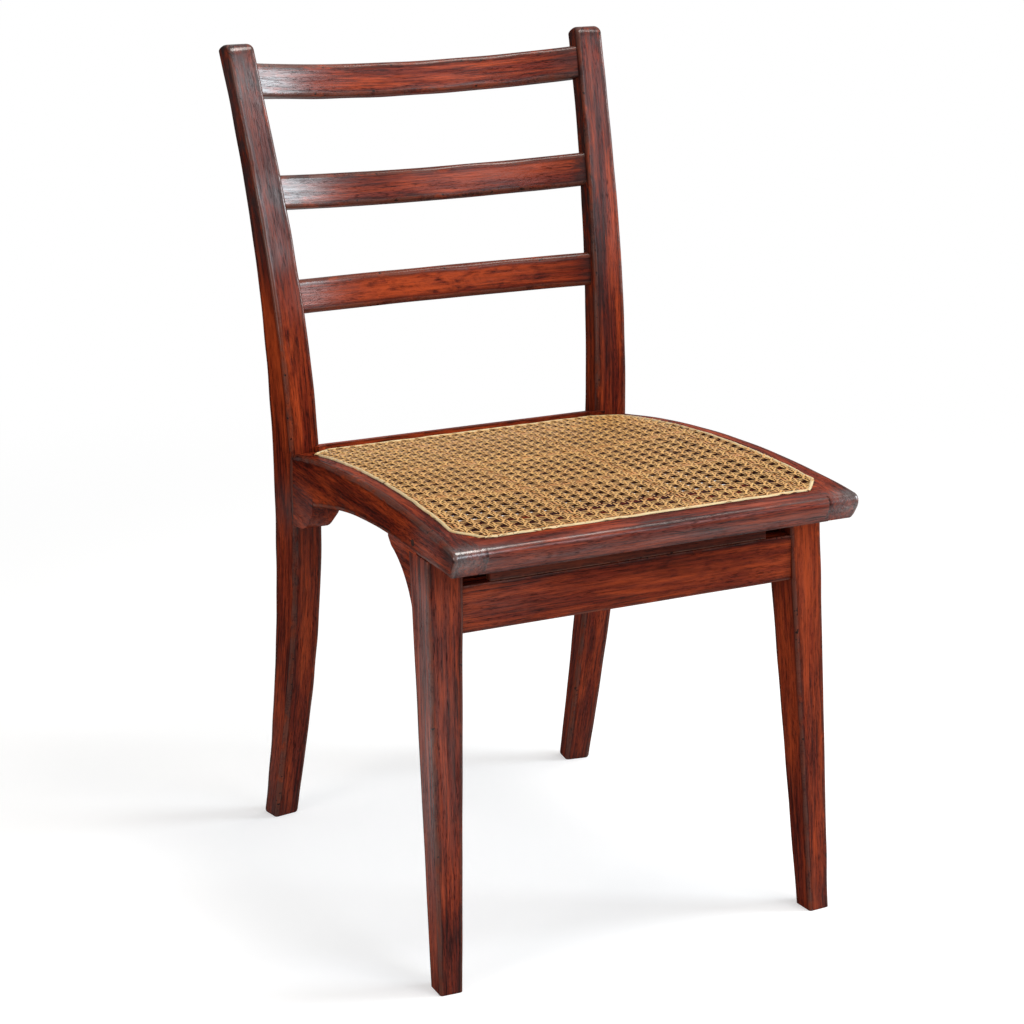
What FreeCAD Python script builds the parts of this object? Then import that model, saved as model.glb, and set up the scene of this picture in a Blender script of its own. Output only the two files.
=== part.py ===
# Ladderback dining chair with a cane seat, all sizes in millimetres.
# Frame: origin on the floor under the middle of the chair, +X to the right of someone facing
# the chair, +Y towards its back, +Z up. The chair is the same left and right of the YZ plane.
# Each rail is scribed to the face that it meets and has a tenon in a mortise of its own size.
import FreeCAD, Part
import math
import os

import Sketcher

from FreeCAD import Placement, Rotation, Vector

doc = FreeCAD.newDocument("LadderbackChair")
sheet = doc.addObject("Spreadsheet::Sheet", "Sizes")

# Driving dimensions
SIZES = {
    # Back post: front outer corner, width, depth and inward turn at five heights
    "post_foot_z": (0.0, "height of the post section at the floor"),
    "post_foot_x": (203.0, "front outer corner, from the middle of the chair"),
    "post_foot_y": (228.0, "front face"),
    "post_foot_width": (30.0, "across the front face"),
    "post_foot_depth": (26.0, "front to back"),
    "post_foot_turn": (9.0, "degrees that the front face turns inwards"),
    "post_shin_z": (200.0, "section at mid shin"),
    "post_shin_x": (201.0, ""),
    "post_shin_y": (174.0, ""),
    "post_shin_width": (34.0, ""),
    "post_shin_depth": (35.0, ""),
    "post_shin_turn": (9.5, ""),
    "post_seat_z": (420.0, "section at the seat"),
    "post_seat_x": (203.0, ""),
    "post_seat_y": (147.8, ""),
    "post_seat_width": (36.0, ""),
    "post_seat_depth": (41.0, ""),
    "post_seat_turn": (10.0, ""),
    "post_waist_z": (640.0, "section between the two lower slats"),
    "post_waist_x": (210.8, ""),
    "post_waist_y": (177.0, ""),
    "post_waist_width": (34.2, ""),
    "post_waist_depth": (32.0, ""),
    "post_waist_turn": (7.3, ""),
    "post_head_z": (869.0, "section above the arched top"),
    "post_head_x": (223.2, ""),
    "post_head_y": (249.0, ""),
    "post_head_width": (30.5, ""),
    "post_head_depth": (28.5, ""),
    "post_head_turn": (4.3, ""),
    "post_round": (3.5, "radius on the long edges of the posts"),
    "post_top_y": (258.5, "centre of the arched top"),
    "post_top_z": (845.5, "centre of the arched top"),
    "post_top_radius": (22.5, "arch of the top, seen from the side"),
    "post_top_lip": (0.5, "left off each end of the arch, clear of the post"),
    # Front leg
    "leg_foot_z": (0.0, "height of the leg section at the floor"),
    "leg_foot_x": (224.8, "outer face at the floor"),
    "leg_foot_y": (-256.7, "front face at the floor"),
    "leg_foot_width": (24.0, ""),
    "leg_foot_depth": (25.5, ""),
    "leg_foot_turn": (-2.6, "degrees, to follow the side rail"),
    "leg_top_x": (219.3, "outer face under the seat"),
    "leg_top_y": (-225.0, "front face under the seat"),
    "leg_top_z": (431.5, "under the seat rails"),
    "leg_top_width": (37.5, ""),
    "leg_top_depth": (46.5, ""),
    "leg_top_turn": (-2.6, ""),
    "leg_round": (2.5, "radius on the long edges of the legs"),
    # Seat frame
    "crown_radius": (1515.0, "curve of the seat from front to back"),
    "crown_y": (-113.0, "highest line of the seat"),
    "crown_z": (468.6, "highest height of the seat"),
    "nose_y": (-288.5, "foremost line of the seat"),
    "nose_z": (452.0, "height of the foremost line"),
    "nose_round": (8.5, "radius over the front edge"),
    "nose_under_y": (-279.5, "lower front edge"),
    "rail_under_z": (431.5, "flat underside of the side rails"),
    "arch_start_y": (-130.0, "where the underside starts to sweep down"),
    "arch_radius": (860.0, "sweep of the underside"),
    "rail_end_y": (164.0, "end of the side rail blank, inside the post"),
    "rail_rear_x": (201.6, "outer face of the side rail at its blank end"),
    "rail_front_x": (222.6, "outer face of the side rail at the nose line"),
    "rail_width": (36.0, "side rail, across"),
    "rail_round": (4.0, "radius on the outer edges of the side rails"),
    "front_rail_width": (71.0, "front rail, front to back"),
    "back_rail_front_y": (143.0, ""),
    "back_rail_width": (32.0, "front to back"),
    "back_rail_under_z": (404.0, ""),
    "back_rail_round": (3.0, ""),
    # Apron and the strip over it
    "apron_front_y": (-227.5, ""),
    "apron_thickness": (20.0, ""),
    "apron_under_z": (357.0, ""),
    "apron_top_z": (404.5, ""),
    "apron_round": (1.5, ""),
    "strip_half_length": (154.0, ""),
    "strip_thickness": (10.0, ""),
    "strip_setback": (0.5, "behind the apron's face"),
    # Slats: distance up the chair of the lower edge, tilt and setback from the post's front face
    "slat_height": (36.5, "along the slat's own face"),
    "slat_thickness": (16.0, ""),
    "slat_curve": (585.0, "radius of the front face, in plan"),
    "slat_bow": (30.0, "how far the middle lies behind the ends"),
    "slat_round": (5.0, "radius on the long edges"),
    "slat_half_span": (200.0, "half of the blank, inside the posts"),
    "top_slat_z": (814.0, "lower front edge, at the post"),
    "top_slat_y": (240.5, ""),
    "top_slat_tilt": (19.0, "degrees back from upright"),
    "top_slat_reach": (204.0, "end of its tenon, from the middle of the chair"),
    "middle_slat_z": (699.5, ""),
    "middle_slat_y": (203.5, ""),
    "middle_slat_tilt": (15.5, ""),
    "middle_slat_reach": (197.0, ""),
    "lower_slat_z": (590.3, ""),
    "lower_slat_y": (177.5, ""),
    "lower_slat_tilt": (10.0, ""),
    "lower_slat_reach": (190.0, ""),
    # Tenons: the lowest corner and three sides of each
    "slat_tenon_height": (24.0, ""),
    "slat_tenon_thickness": (8.0, ""),
    "slat_tenon_root": (30.0, "length inside the slat's blank"),
    "side_tenon_x": (181.0, "side rail into the post"),
    "side_tenon_y": (138.0, ""),
    "side_tenon_z": (402.0, ""),
    "side_tenon_length": (30.0, ""),
    "back_tenon_x": (150.0, "back rail into the post"),
    "back_tenon_y": (164.0, "behind the side rail's end"),
    "back_tenon_z": (411.0, ""),
    "back_tenon_length": (29.0, ""),
    "front_tenon_x": (170.0, "front rail into the side rail"),
    "front_tenon_y": (-262.0, ""),
    "front_tenon_z": (440.0, ""),
    "front_tenon_length": (30.0, ""),
    "leg_tenon_x": (196.0, "front leg into the side rail"),
    "leg_tenon_y": (-218.0, ""),
    "leg_tenon_z": (420.0, ""),
    "leg_tenon_width": (34.0, ""),
    "leg_tenon_height": (30.0, ""),
    "apron_tenon_x": (170.0, "apron into the front leg"),
    "apron_tenon_y": (-222.5, ""),
    "apron_tenon_z": (367.5, ""),
    "apron_tenon_length": (31.0, ""),
    "rail_tenon_height": (26.0, ""),
    "rail_tenon_thickness": (10.0, ""),
    # Corbel and knee bracket
    "corbel_width": (35.0, ""),
    "corbel_flush": (1.8, "outer face, out from the side rail's rear end"),
    "corbel_front_y": (89.0, ""),
    "corbel_lip_z": (399.0, ""),
    "corbel_foot_y": (129.0, ""),
    "corbel_foot_z": (370.0, ""),
    "corbel_back_z": (366.0, "underside, at the post"),
    "corbel_sweep": (55.0, "radius of the rounded front"),
    "corbel_chamfer": (8.0, "on the inner lower edge"),
    "corbel_blank_top_z": (415.0, "inside the side rail"),
    "knee_width": (34.0, ""),
    "knee_toe_y": (-126.0, ""),
    "knee_lip_y": (-134.0, ""),
    "knee_lip_z": (424.0, ""),
    "knee_foot_y": (-190.0, ""),
    "knee_foot_z": (366.0, ""),
    "knee_back_y": (-198.0, "inside the leg"),
    "knee_sweep": (90.0, "radius of the hollow"),
    "knee_blank_top_z": (436.0, "inside the side rail"),
    # Cane
    "cane_thickness": (1.6, ""),
    "spline_width": (4.6, ""),
    "spline_depth": (5.0, "in its groove"),
    "spline_proud": (0.7, "over the wood"),
    "cane_rear_y": (157.0, "outer edge of the spline at the back"),
    "cane_rear_x": (160.0, "half width at the back edge"),
    "cane_side_rear_x": (187.5, ""),
    "cane_side_rear_y": (128.0, ""),
    "cane_side_front_x": (202.0, ""),
    "cane_side_front_y": (-239.0, ""),
    "cane_front_x": (180.0, "half width at the front edge"),
    "cane_front_y": (-266.0, ""),
    "cane_pitch": (24.0, "from one gap to the next"),
    "cane_gap": (14.5, "across the flats of an eight sided gap"),
    "cane_margin": (2.0, "left whole around the outermost gaps"),
    # Pegs through the side rails into the front legs' tenons
    "peg_diameter": (7.0, ""),
    "peg_x": (197.0, "inner end, in the tenon"),
    "peg_y": (-190.0, ""),
    "peg_z": (442.0, ""),
    "peg_depth": (20.9, "length of the peg"),
}
for row, (name, (value, note)) in enumerate(SIZES.items(), start=1):
    sheet.set(f"A{row}", note)
    sheet.set(f"B{row}", str(value))
    sheet.setAlias(f"B{row}", name)
doc.recompute()

# How near a point lies to a face or line that it is on
NEAR = 0.05


def size(name):
    """The value of one driving dimension."""
    return float(getattr(sheet, name))


def term(*names):
    """A sum of driving dimensions as (value, expression); a name with a minus is taken off."""
    value = 0.0
    expression = ""
    for name in names:
        sign = -1.0 if name.startswith("-") else 1.0
        plain = name.lstrip("-")
        value += sign * size(plain)
        joiner = " - " if sign < 0 else (" + " if expression else "")
        expression += f"{joiner}Sizes.{plain}"
    return value, expression.strip()


# Sketches and solids

def origin_plane(body, role):
    """One of the three origin planes of a body."""
    return next(item for item in body.Origin.OriginFeatures if item.Role == role)


def new_sketch(body, name, role):
    """An empty sketch on an origin plane of its own body."""
    sketch = body.newObject("Sketcher::SketchObject", name)
    sketch.AttachmentSupport = [(origin_plane(body, role), "")]
    sketch.MapMode = "FlatFace"
    return sketch


def bind(sketch, kind, where, measure, name):
    """A dimension in a sketch, tied to the sheet. Negative distances are measured backwards."""
    value, expression = measure
    if value < 0 and kind in ("DistanceX", "DistanceY"):
        where = where[2:] + where[:2]
        value = -value
        expression = f"-({expression})"
    index = sketch.addConstraint(Sketcher.Constraint(kind, *where, value))
    sketch.renameConstraint(index, name)
    sketch.setExpression(f"Constraints.{name}", expression)


def arc_between(start, end, radius, side):
    """The short arc from start to end with its centre on the left (side 1) or right (-1)."""
    chord = end - start
    middle = (start + end) * 0.5
    left = Vector(-chord.y, chord.x, 0).normalize()
    reach = math.sqrt(radius ** 2 - (chord.Length / 2) ** 2)
    centre = middle + left * (side * reach)
    first, last = (start, end) if side > 0 else (end, start)
    angles = [math.atan2(p.y - centre.y, p.x - centre.x) for p in (first, last)]
    if angles[1] < angles[0]:
        angles[1] += 2 * math.pi
    circle = Part.Circle(centre, Vector(0, 0, 1), radius)
    return Part.ArcOfCircle(circle, angles[0], angles[1])


def outline(body, name, role, corners, arcs=None):
    """A closed sketch through corners, each a pair of measures, with straight sides.

    arcs gives the sides that are round: side number, then its radius and its centre's side.
    """
    arcs = arcs or {}
    sketch = new_sketch(body, name, role)
    points = [Vector(u[0], v[0], 0) for u, v in corners]
    count = len(points)
    ends = []
    for side in range(count):
        start, end = points[side], points[(side + 1) % count]
        if side in arcs:
            radius, centre_side = arcs[side]
            sketch.addGeometry(arc_between(start, end, radius[0], centre_side), False)
            ends.append((1, 2) if centre_side > 0 else (2, 1))
            bind(sketch, "Radius", (side,), radius, f"radius_{side}")
        else:
            sketch.addGeometry(Part.LineSegment(start, end), False)
            ends.append((1, 2))
    for side in range(count):
        following = (side + 1) % count
        joint = ("Coincident", side, ends[side][1], following, ends[following][0])
        sketch.addConstraint(Sketcher.Constraint(*joint))
    for side, (across, up) in enumerate(corners):
        corner = (-1, 1, side, ends[side][0])
        for kind, measure in (("DistanceX", across), ("DistanceY", up)):
            if measure[0] == 0.0:
                axis = -2 if kind == "DistanceX" else -1
                on_axis = ("PointOnObject", side, ends[side][0], axis)
                sketch.addConstraint(Sketcher.Constraint(*on_axis))
            else:
                bind(sketch, kind, corner, measure, f"{kind}_{side}")
    return sketch


def post_section(body, prefix, rounding):
    """A rounded rectangle whose front outer corner, turn and height come from the sheet."""
    sketch = new_sketch(body, f"{prefix}_section", "XY_Plane")
    sketch.AttachmentOffset = Placement(Vector(), Rotation(Vector(0, 0, 1), -1))
    for axis in "xyz":
        sketch.setExpression(f"AttachmentOffset.Base.{axis}", f"Sizes.{prefix}_{axis}")
    sketch.setExpression("AttachmentOffset.Rotation.Angle", f"-Sizes.{prefix}_turn")
    width = size(f"{prefix}_width")
    depth = size(f"{prefix}_depth")
    radius = size(rounding)
    quarter = math.pi / 2
    centres = [(-radius, radius), (-radius, depth - radius),
               (radius - width, depth - radius), (radius - width, radius)]
    sides = [((0, radius), (0, depth - radius)), ((-radius, depth), (radius - width, depth)),
             ((-width, depth - radius), (-width, radius)), ((radius - width, 0), (-radius, 0))]
    for corner, (centre, (start, end)) in enumerate(zip(centres, sides)):
        circle = Part.Circle(Vector(*centre, 0), Vector(0, 0, 1), radius)
        first = (corner + 3) * quarter
        sketch.addGeometry(Part.ArcOfCircle(circle, first, first + quarter), False)
        sketch.addGeometry(Part.LineSegment(Vector(*start, 0), Vector(*end, 0)), False)
    for piece in range(8):
        joint = Sketcher.Constraint("Tangent", piece, 2, (piece + 1) % 8, 1)
        sketch.addConstraint(joint)
    for arc in (2, 4, 6):
        sketch.addConstraint(Sketcher.Constraint("Equal", 0, arc))
    for line, direction in ((1, "Vertical"), (3, "Horizontal"), (5, "Vertical"), (7, "Horizontal")):
        sketch.addConstraint(Sketcher.Constraint(direction, line))
    sketch.addConstraint(Sketcher.Constraint("PointOnObject", 1, 1, -2))
    sketch.addConstraint(Sketcher.Constraint("PointOnObject", 7, 1, -1))
    bind(sketch, "DistanceX", (5, 1, -1, 1), term(f"{prefix}_width"), "across")
    bind(sketch, "DistanceY", (-1, 1, 3, 1), term(f"{prefix}_depth"), "deep")
    bind(sketch, "Radius", (0,), term(rounding), "round")
    return sketch


def new_body(name):
    """An empty body."""
    return doc.addObject("PartDesign::Body", name)


def loft(body, sections):
    """A smooth solid through its sections, from the first to the last."""
    solid = body.newObject("PartDesign::AdditiveLoft", f"{body.Name}_loft")
    solid.Profile = sections[0]
    solid.Sections = [(section, [""]) for section in sections[1:]]
    return solid


def pad(body, sketch, length, start=None):
    """A sketch raised by a measure; start lifts the sketch off its plane first."""
    solid = body.newObject("PartDesign::Pad", f"{sketch.Name}_pad")
    solid.Profile = sketch
    if start:
        sketch.setExpression("AttachmentOffset.Base.z", start[1])
    solid.setExpression("Length", length[1])
    return solid


def pad_across(body, sketch, length):
    """A sketch raised by half of a measure to both sides of its plane."""
    solid = pad(body, sketch, length)
    solid.Midplane = True
    return solid


def box(name, low, dimensions, frame=None):
    """A box from its lowest corner, with sides bound to the sheet, in a given frame."""
    solid = doc.addObject("Part::Box", name)
    for side, measure in zip(("Length", "Width", "Height"), dimensions):
        solid.setExpression(side, measure[1])
    frame = frame or Placement()
    solid.Placement = frame.multiply(Placement(Vector(*low), Rotation()))
    return solid


def edges_where(solid, test, shortest=0.0):
    """Numbers of the edges of at least a length whose every sampled point passes a test."""
    numbers = []
    for number, edge in enumerate(solid.Shape.Edges, start=1):
        if edge.Length >= shortest and all(test(point) for point in edge.discretize(5)):
            numbers.append(number)
    return numbers


def rounded(name, base, radius, test, shortest=0.0):
    """A solid with the edges that pass a test rounded."""
    doc.recompute()
    numbers = edges_where(base, test, shortest)
    result = doc.addObject("Part::Fillet", name)
    result.Base = base
    result.Edges = [(number, size(radius), size(radius)) for number in numbers]
    return result


def cut(name, base, *tools):
    """A solid less each of its tools."""
    result = doc.addObject("Part::Cut", name)
    result.Base = base
    result.Tool = tools[0] if len(tools) == 1 else fuse(f"{name}_tools", *tools)
    return result


def fuse(name, *solids):
    """Several solids joined into one."""
    result = doc.addObject("Part::MultiFuse", name)
    result.Shapes = list(solids)
    result.Refine = True
    return result


def common(name, first, second):
    """What two solids share."""
    result = doc.addObject("Part::Common", name)
    result.Base = first
    result.Tool = second
    return result


def mirrored(name, source):
    """The same solid on the other side of the chair's middle plane."""
    result = doc.addObject("Part::Mirroring", name)
    result.Source = source
    result.Normal = Vector(1, 0, 0)
    return result


# Stock sizes that only need to be larger than the chair
LIMITS = {
    "stock_width": (520.0, "wider than the chair"),
    "stock_low": (300.0, "under every seat rail"),
    "stock_tall": (200.0, "from the low limit to over every seat rail"),
    "stock_top": (920.0, "over the posts"),
    "stock_back_y": (200.0, "behind the back rail"),
    "crown_stock": (150.0, "under the crown"),
    "cane_clear": (30.0, "over the crown"),
}
for row, (name, (value, note)) in enumerate(LIMITS.items(), start=len(SIZES) + 2):
    sheet.set(f"A{row}", note)
    sheet.set(f"B{row}", str(value))
    sheet.setAlias(f"B{row}", name)
doc.recompute()


# Back posts, each one piece from the floor to the top

def post_blank():
    """The right post before its mortises: a bowed, tapered stile with an arched top."""
    body = new_body("post_blank")
    stations = ("foot", "shin", "seat", "waist", "head")
    loft(body, [post_section(body, f"post_{place}", "post_round") for place in stations])
    reach = size("post_top_radius") - size("post_top_lip")
    rise = math.sqrt(size("post_top_radius") ** 2 - reach ** 2)
    front = size("post_top_y") - reach
    back = size("post_top_y") + reach
    sketch = new_sketch(body, "post_top", "YZ_Plane")
    centre = Vector(size("post_top_y"), size("post_top_z"), 0)
    circle = Part.Circle(centre, Vector(0, 0, 1), size("post_top_radius"))
    tilt = math.atan2(rise, reach)
    sketch.addGeometry(Part.ArcOfCircle(circle, tilt, math.pi - tilt), False)
    corners = [(front, centre.y + rise), (front, size("stock_top")),
               (back, size("stock_top")), (back, centre.y + rise)]
    for start, end in zip(corners, corners[1:]):
        sketch.addGeometry(Part.LineSegment(Vector(*start, 0), Vector(*end, 0)), False)
    for first, first_end, second, second_end in ((0, 2, 1, 1), (1, 2, 2, 1), (2, 2, 3, 1), (3, 2, 0, 1)):
        joint = Sketcher.Constraint("Coincident", first, first_end, second, second_end)
        sketch.addConstraint(joint)
    for line, direction in ((1, "Vertical"), (2, "Horizontal"), (3, "Vertical")):
        sketch.addConstraint(Sketcher.Constraint(direction, line))
    bind(sketch, "Radius", (0,), term("post_top_radius"), "arch")
    bind(sketch, "DistanceX", (-1, 1, 0, 3), term("post_top_y"), "centre_y")
    bind(sketch, "DistanceY", (-1, 1, 0, 3), term("post_top_z"), "centre_z")
    bind(sketch, "DistanceY", (-1, 1, 2, 1), term("stock_top"), "over")
    sketch.addConstraint(Sketcher.Constraint("Horizontal", 0, 1, 0, 2))
    span = (2 * reach, "2 * (Sizes.post_top_radius - Sizes.post_top_lip)")
    bind(sketch, "DistanceX", (0, 2, 0, 1), span, "span")
    doc.recompute()
    pocket = body.newObject("PartDesign::Pocket", "post_top_trim")
    pocket.Profile = sketch
    pocket.Midplane = True
    pocket.setExpression("Length", "2 * Sizes.stock_width")
    return body



# Seat frame: rails share one side profile, crowned on top and arched below

def crown_height(y, lift=0.0):
    """Height of the seat's crowned surface, or of a surface parallel to it."""
    radius = size("crown_radius")
    centre = size("crown_z") - radius
    return centre + math.sqrt((radius + lift) ** 2 - (y - size("crown_y")) ** 2)


def crown_band(name, top, bottom, front, back):
    """Across the whole chair, the space between two surfaces parallel to the crown."""
    body = new_body(name)
    sketch = new_sketch(body, f"{name}_side", "YZ_Plane")
    centre = Vector(size("crown_y"), size("crown_z") - size("crown_radius"), 0)
    ends = []
    for side, lift in enumerate((top[0], bottom[0])):
        radius = size("crown_radius") + lift
        near = Vector(front[0], crown_height(front[0], lift), 0) - centre
        far = Vector(back[0], crown_height(back[0], lift), 0) - centre
        circle = Part.Circle(centre, Vector(0, 0, 1), radius)
        angles = (math.atan2(far.y, far.x), math.atan2(near.y, near.x))
        sketch.addGeometry(Part.ArcOfCircle(circle, *angles), False)
        ends.append((centre + far, centre + near))
    for end in (0, 1):
        sketch.addGeometry(Part.LineSegment(ends[0][end], ends[1][end]), False)
    for first, first_end, second, second_end in ((0, 1, 2, 1), (1, 1, 2, 2), (0, 2, 3, 1), (1, 2, 3, 2)):
        joint = Sketcher.Constraint("Coincident", first, first_end, second, second_end)
        sketch.addConstraint(joint)
    sketch.addConstraint(Sketcher.Constraint("Vertical", 2))
    sketch.addConstraint(Sketcher.Constraint("Vertical", 3))
    sketch.addConstraint(Sketcher.Constraint("Coincident", 0, 3, 1, 3))
    bind(sketch, "DistanceX", (-1, 1, 0, 3), term("crown_y"), "crown_middle")
    radius_top = (size("crown_radius") + top[0], f"Sizes.crown_radius + {top[1]}")
    radius_bottom = (size("crown_radius") + bottom[0], f"Sizes.crown_radius + {bottom[1]}")
    drop = (size("crown_z") - size("crown_radius"), "Sizes.crown_z - Sizes.crown_radius")
    bind(sketch, "DistanceY", (-1, 1, 0, 3), drop, "crown_drop")
    bind(sketch, "Radius", (0,), radius_top, "upper")
    bind(sketch, "Radius", (1,), radius_bottom, "lower")
    bind(sketch, "DistanceX", (-1, 1, 2, 1), back, "back")
    bind(sketch, "DistanceX", (-1, 1, 3, 1), front, "front")
    pad_across(body, sketch, term("stock_width"))
    return body


def seat_profile():
    """The side view of the seat rails, carried across the whole chair."""
    body = new_body("seat_profile")
    sketch = new_sketch(body, "seat_side_view", "YZ_Plane")
    radius = size("crown_radius")
    centre = Vector(size("crown_y"), size("crown_z") - radius, 0)
    back_y = size("rail_end_y")
    under = size("rail_under_z")
    # The nose arc meets the crown and the sloping face; its centre lies on a parallel of each
    nose = size("nose_round")
    lower = Vector(size("nose_under_y"), under, 0)
    upper = Vector(size("nose_y"), size("nose_z"), 0)
    slope = (upper - lower).normalize()
    inward = Vector(slope.y, -slope.x, 0)
    nose_centre = upper + inward * nose
    to_crown = (nose_centre - centre).normalize()
    crown_meets = nose_centre + to_crown * nose
    gap = crown_height(crown_meets.x) - crown_meets.y
    upper = upper + slope * gap
    nose_centre = nose_centre + slope * gap
    crown_meets = Vector(crown_meets.x, crown_height(crown_meets.x), 0)
    arch_centre = Vector(size("arch_start_y"), under - size("arch_radius"), 0)
    arch_rise = math.sqrt(size("arch_radius") ** 2 - (back_y - arch_centre.x) ** 2)
    arch_end = Vector(back_y, arch_centre.y + arch_rise, 0)
    arch_start = Vector(arch_centre.x, under, 0)
    crown_end = Vector(back_y, crown_height(back_y), 0)

    def arc(middle, first, last, size_of):
        angles = [math.atan2(p.y - middle.y, p.x - middle.x) for p in (first, last)]
        if angles[1] < angles[0]:
            angles[1] += 2 * math.pi
        return Part.ArcOfCircle(Part.Circle(middle, Vector(0, 0, 1), size_of), *angles)

    shapes = [arc(centre, crown_end, crown_meets, radius),
              arc(nose_centre, crown_meets, upper, nose),
              Part.LineSegment(upper, lower),
              Part.LineSegment(lower, arch_start),
              arc(arch_centre, arch_end, arch_start, size("arch_radius")),
              Part.LineSegment(arch_end, crown_end)]
    for shape in shapes:
        sketch.addGeometry(shape, False)
    joints = (("Tangent", 0, 2, 1, 1), ("Tangent", 1, 2, 2, 1), ("Coincident", 2, 2, 3, 1),
              ("Tangent", 3, 2, 4, 2), ("Coincident", 4, 1, 5, 1), ("Coincident", 5, 2, 0, 1))
    for joint in joints:
        sketch.addConstraint(Sketcher.Constraint(*joint))
    sketch.addConstraint(Sketcher.Constraint("Horizontal", 3))
    sketch.addConstraint(Sketcher.Constraint("Vertical", 5))
    bind(sketch, "Radius", (0,), term("crown_radius"), "crown")
    bind(sketch, "DistanceX", (-1, 1, 0, 3), term("crown_y"), "crown_middle")
    bind(sketch, "DistanceY", (-1, 1, 0, 3), term("crown_z", "-crown_radius"), "crown_drop")
    bind(sketch, "Radius", (1,), term("nose_round"), "nose")
    bind(sketch, "Radius", (4,), term("arch_radius"), "arch")
    bind(sketch, "DistanceX", (-1, 1, 2, 2), term("nose_under_y"), "under_front")
    bind(sketch, "DistanceY", (-1, 1, 2, 2), term("rail_under_z"), "under_height")
    bind(sketch, "DistanceX", (-1, 1, 2, 1), term("nose_y"), "foremost")
    bind(sketch, "DistanceX", (-1, 1, 3, 2), term("arch_start_y"), "arch_start")
    bind(sketch, "DistanceX", (-1, 1, 5, 1), term("rail_end_y"), "end")
    pad_across(body, sketch, term("stock_width"))
    return body


def plan_prism(name, corners):
    """A plan outline raised through the height of the seat."""
    body = new_body(name)
    sketch = outline(body, f"{name}_plan", "XY_Plane", corners)
    pad(body, sketch, term("stock_tall"), term("stock_low"))
    return body


def side_rail_blank(profile):
    """The right side rail, full length, with its outer edges rounded."""
    front = term("rail_front_x")
    back = term("rail_rear_x")
    plan = plan_prism("side_rail_plan", [
        (back, term("rail_end_y")),
        (term("rail_rear_x", "-rail_width"), term("rail_end_y")),
        (term("rail_front_x", "-rail_width"), term("nose_y", "-nose_round")),
        (front, term("nose_y", "-nose_round"))])
    square = common("side_rail_square", profile, plan)
    run = size("rail_end_y") - size("nose_y") + size("nose_round")
    lean = (front[0] - back[0]) / run

    def on_outer_face(point):
        face_x = back[0] + lean * (size("rail_end_y") - point.y)
        return abs(point.x - face_x) < NEAR and point.y < size("rail_end_y") - NEAR

    return rounded("side_rail_blank", square, "rail_round", on_outer_face)


def front_rail_blank(profile):
    """The front rail between the side rails: the nose and flat underside of the same profile."""
    rear = (size("nose_y") + size("front_rail_width"), "Sizes.nose_y + Sizes.front_rail_width")
    half = (size("rail_front_x") - size("rail_width") / 2,
            "Sizes.rail_front_x - Sizes.rail_width / 2")
    minus_half = (-half[0], f"-({half[1]})")
    plan = plan_prism("front_rail_plan", [
        (half, rear), (minus_half, rear),
        (minus_half, term("nose_y", "-nose_round")), (half, term("nose_y", "-nose_round"))])
    return common("front_rail_square", profile, plan)


def back_rail_blank(crown):
    """The back rail between the posts, its top lying in the crown of the seat."""
    stock = box("back_rail_stock",
                (-size("rail_rear_x") + size("rail_width") / 2, size("back_rail_front_y"),
                 size("back_rail_under_z")),
                (term("rail_rear_x", "rail_rear_x", "-rail_width"), term("back_rail_width"),
                 term("stock_tall", "-back_rail_under_z", "stock_low")))
    square = common("back_rail_square", stock, crown)
    back = size("back_rail_front_y") + size("back_rail_width")
    return rounded("back_rail_blank", square, "back_rail_round",
                   lambda point: abs(point.y - back) < NEAR, size("cane_rear_x"))


# Front legs and the apron between them

def leg_blank():
    """The right front leg: tapered, splayed outwards and forwards, running up into the rail."""
    body = new_body("leg_blank")
    loft(body, [post_section(body, f"leg_{place}", "leg_round") for place in ("foot", "top")])
    return body


def apron_blank():
    """The apron, long enough to run into both legs."""
    stock = box("apron_stock",
                (-size("leg_top_x") + size("leg_top_width") / 2, size("apron_front_y"),
                 size("apron_under_z")),
                (term("leg_top_x", "leg_top_x", "-leg_top_width"), term("apron_thickness"),
                 term("apron_top_z", "-apron_under_z")))
    return rounded("apron_blank", stock, "apron_round", lambda point: True, size("cane_rear_x"))


# Slats, bowed backwards and tilted with the posts

def slat_frame(prefix):
    """Where a slat's lower front edge is, turned back with the posts."""
    tilt = Rotation(Vector(1, 0, 0), -size(f"{prefix}_slat_tilt"))
    return Placement(Vector(0, size(f"{prefix}_slat_y"), size(f"{prefix}_slat_z")), tilt)


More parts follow.
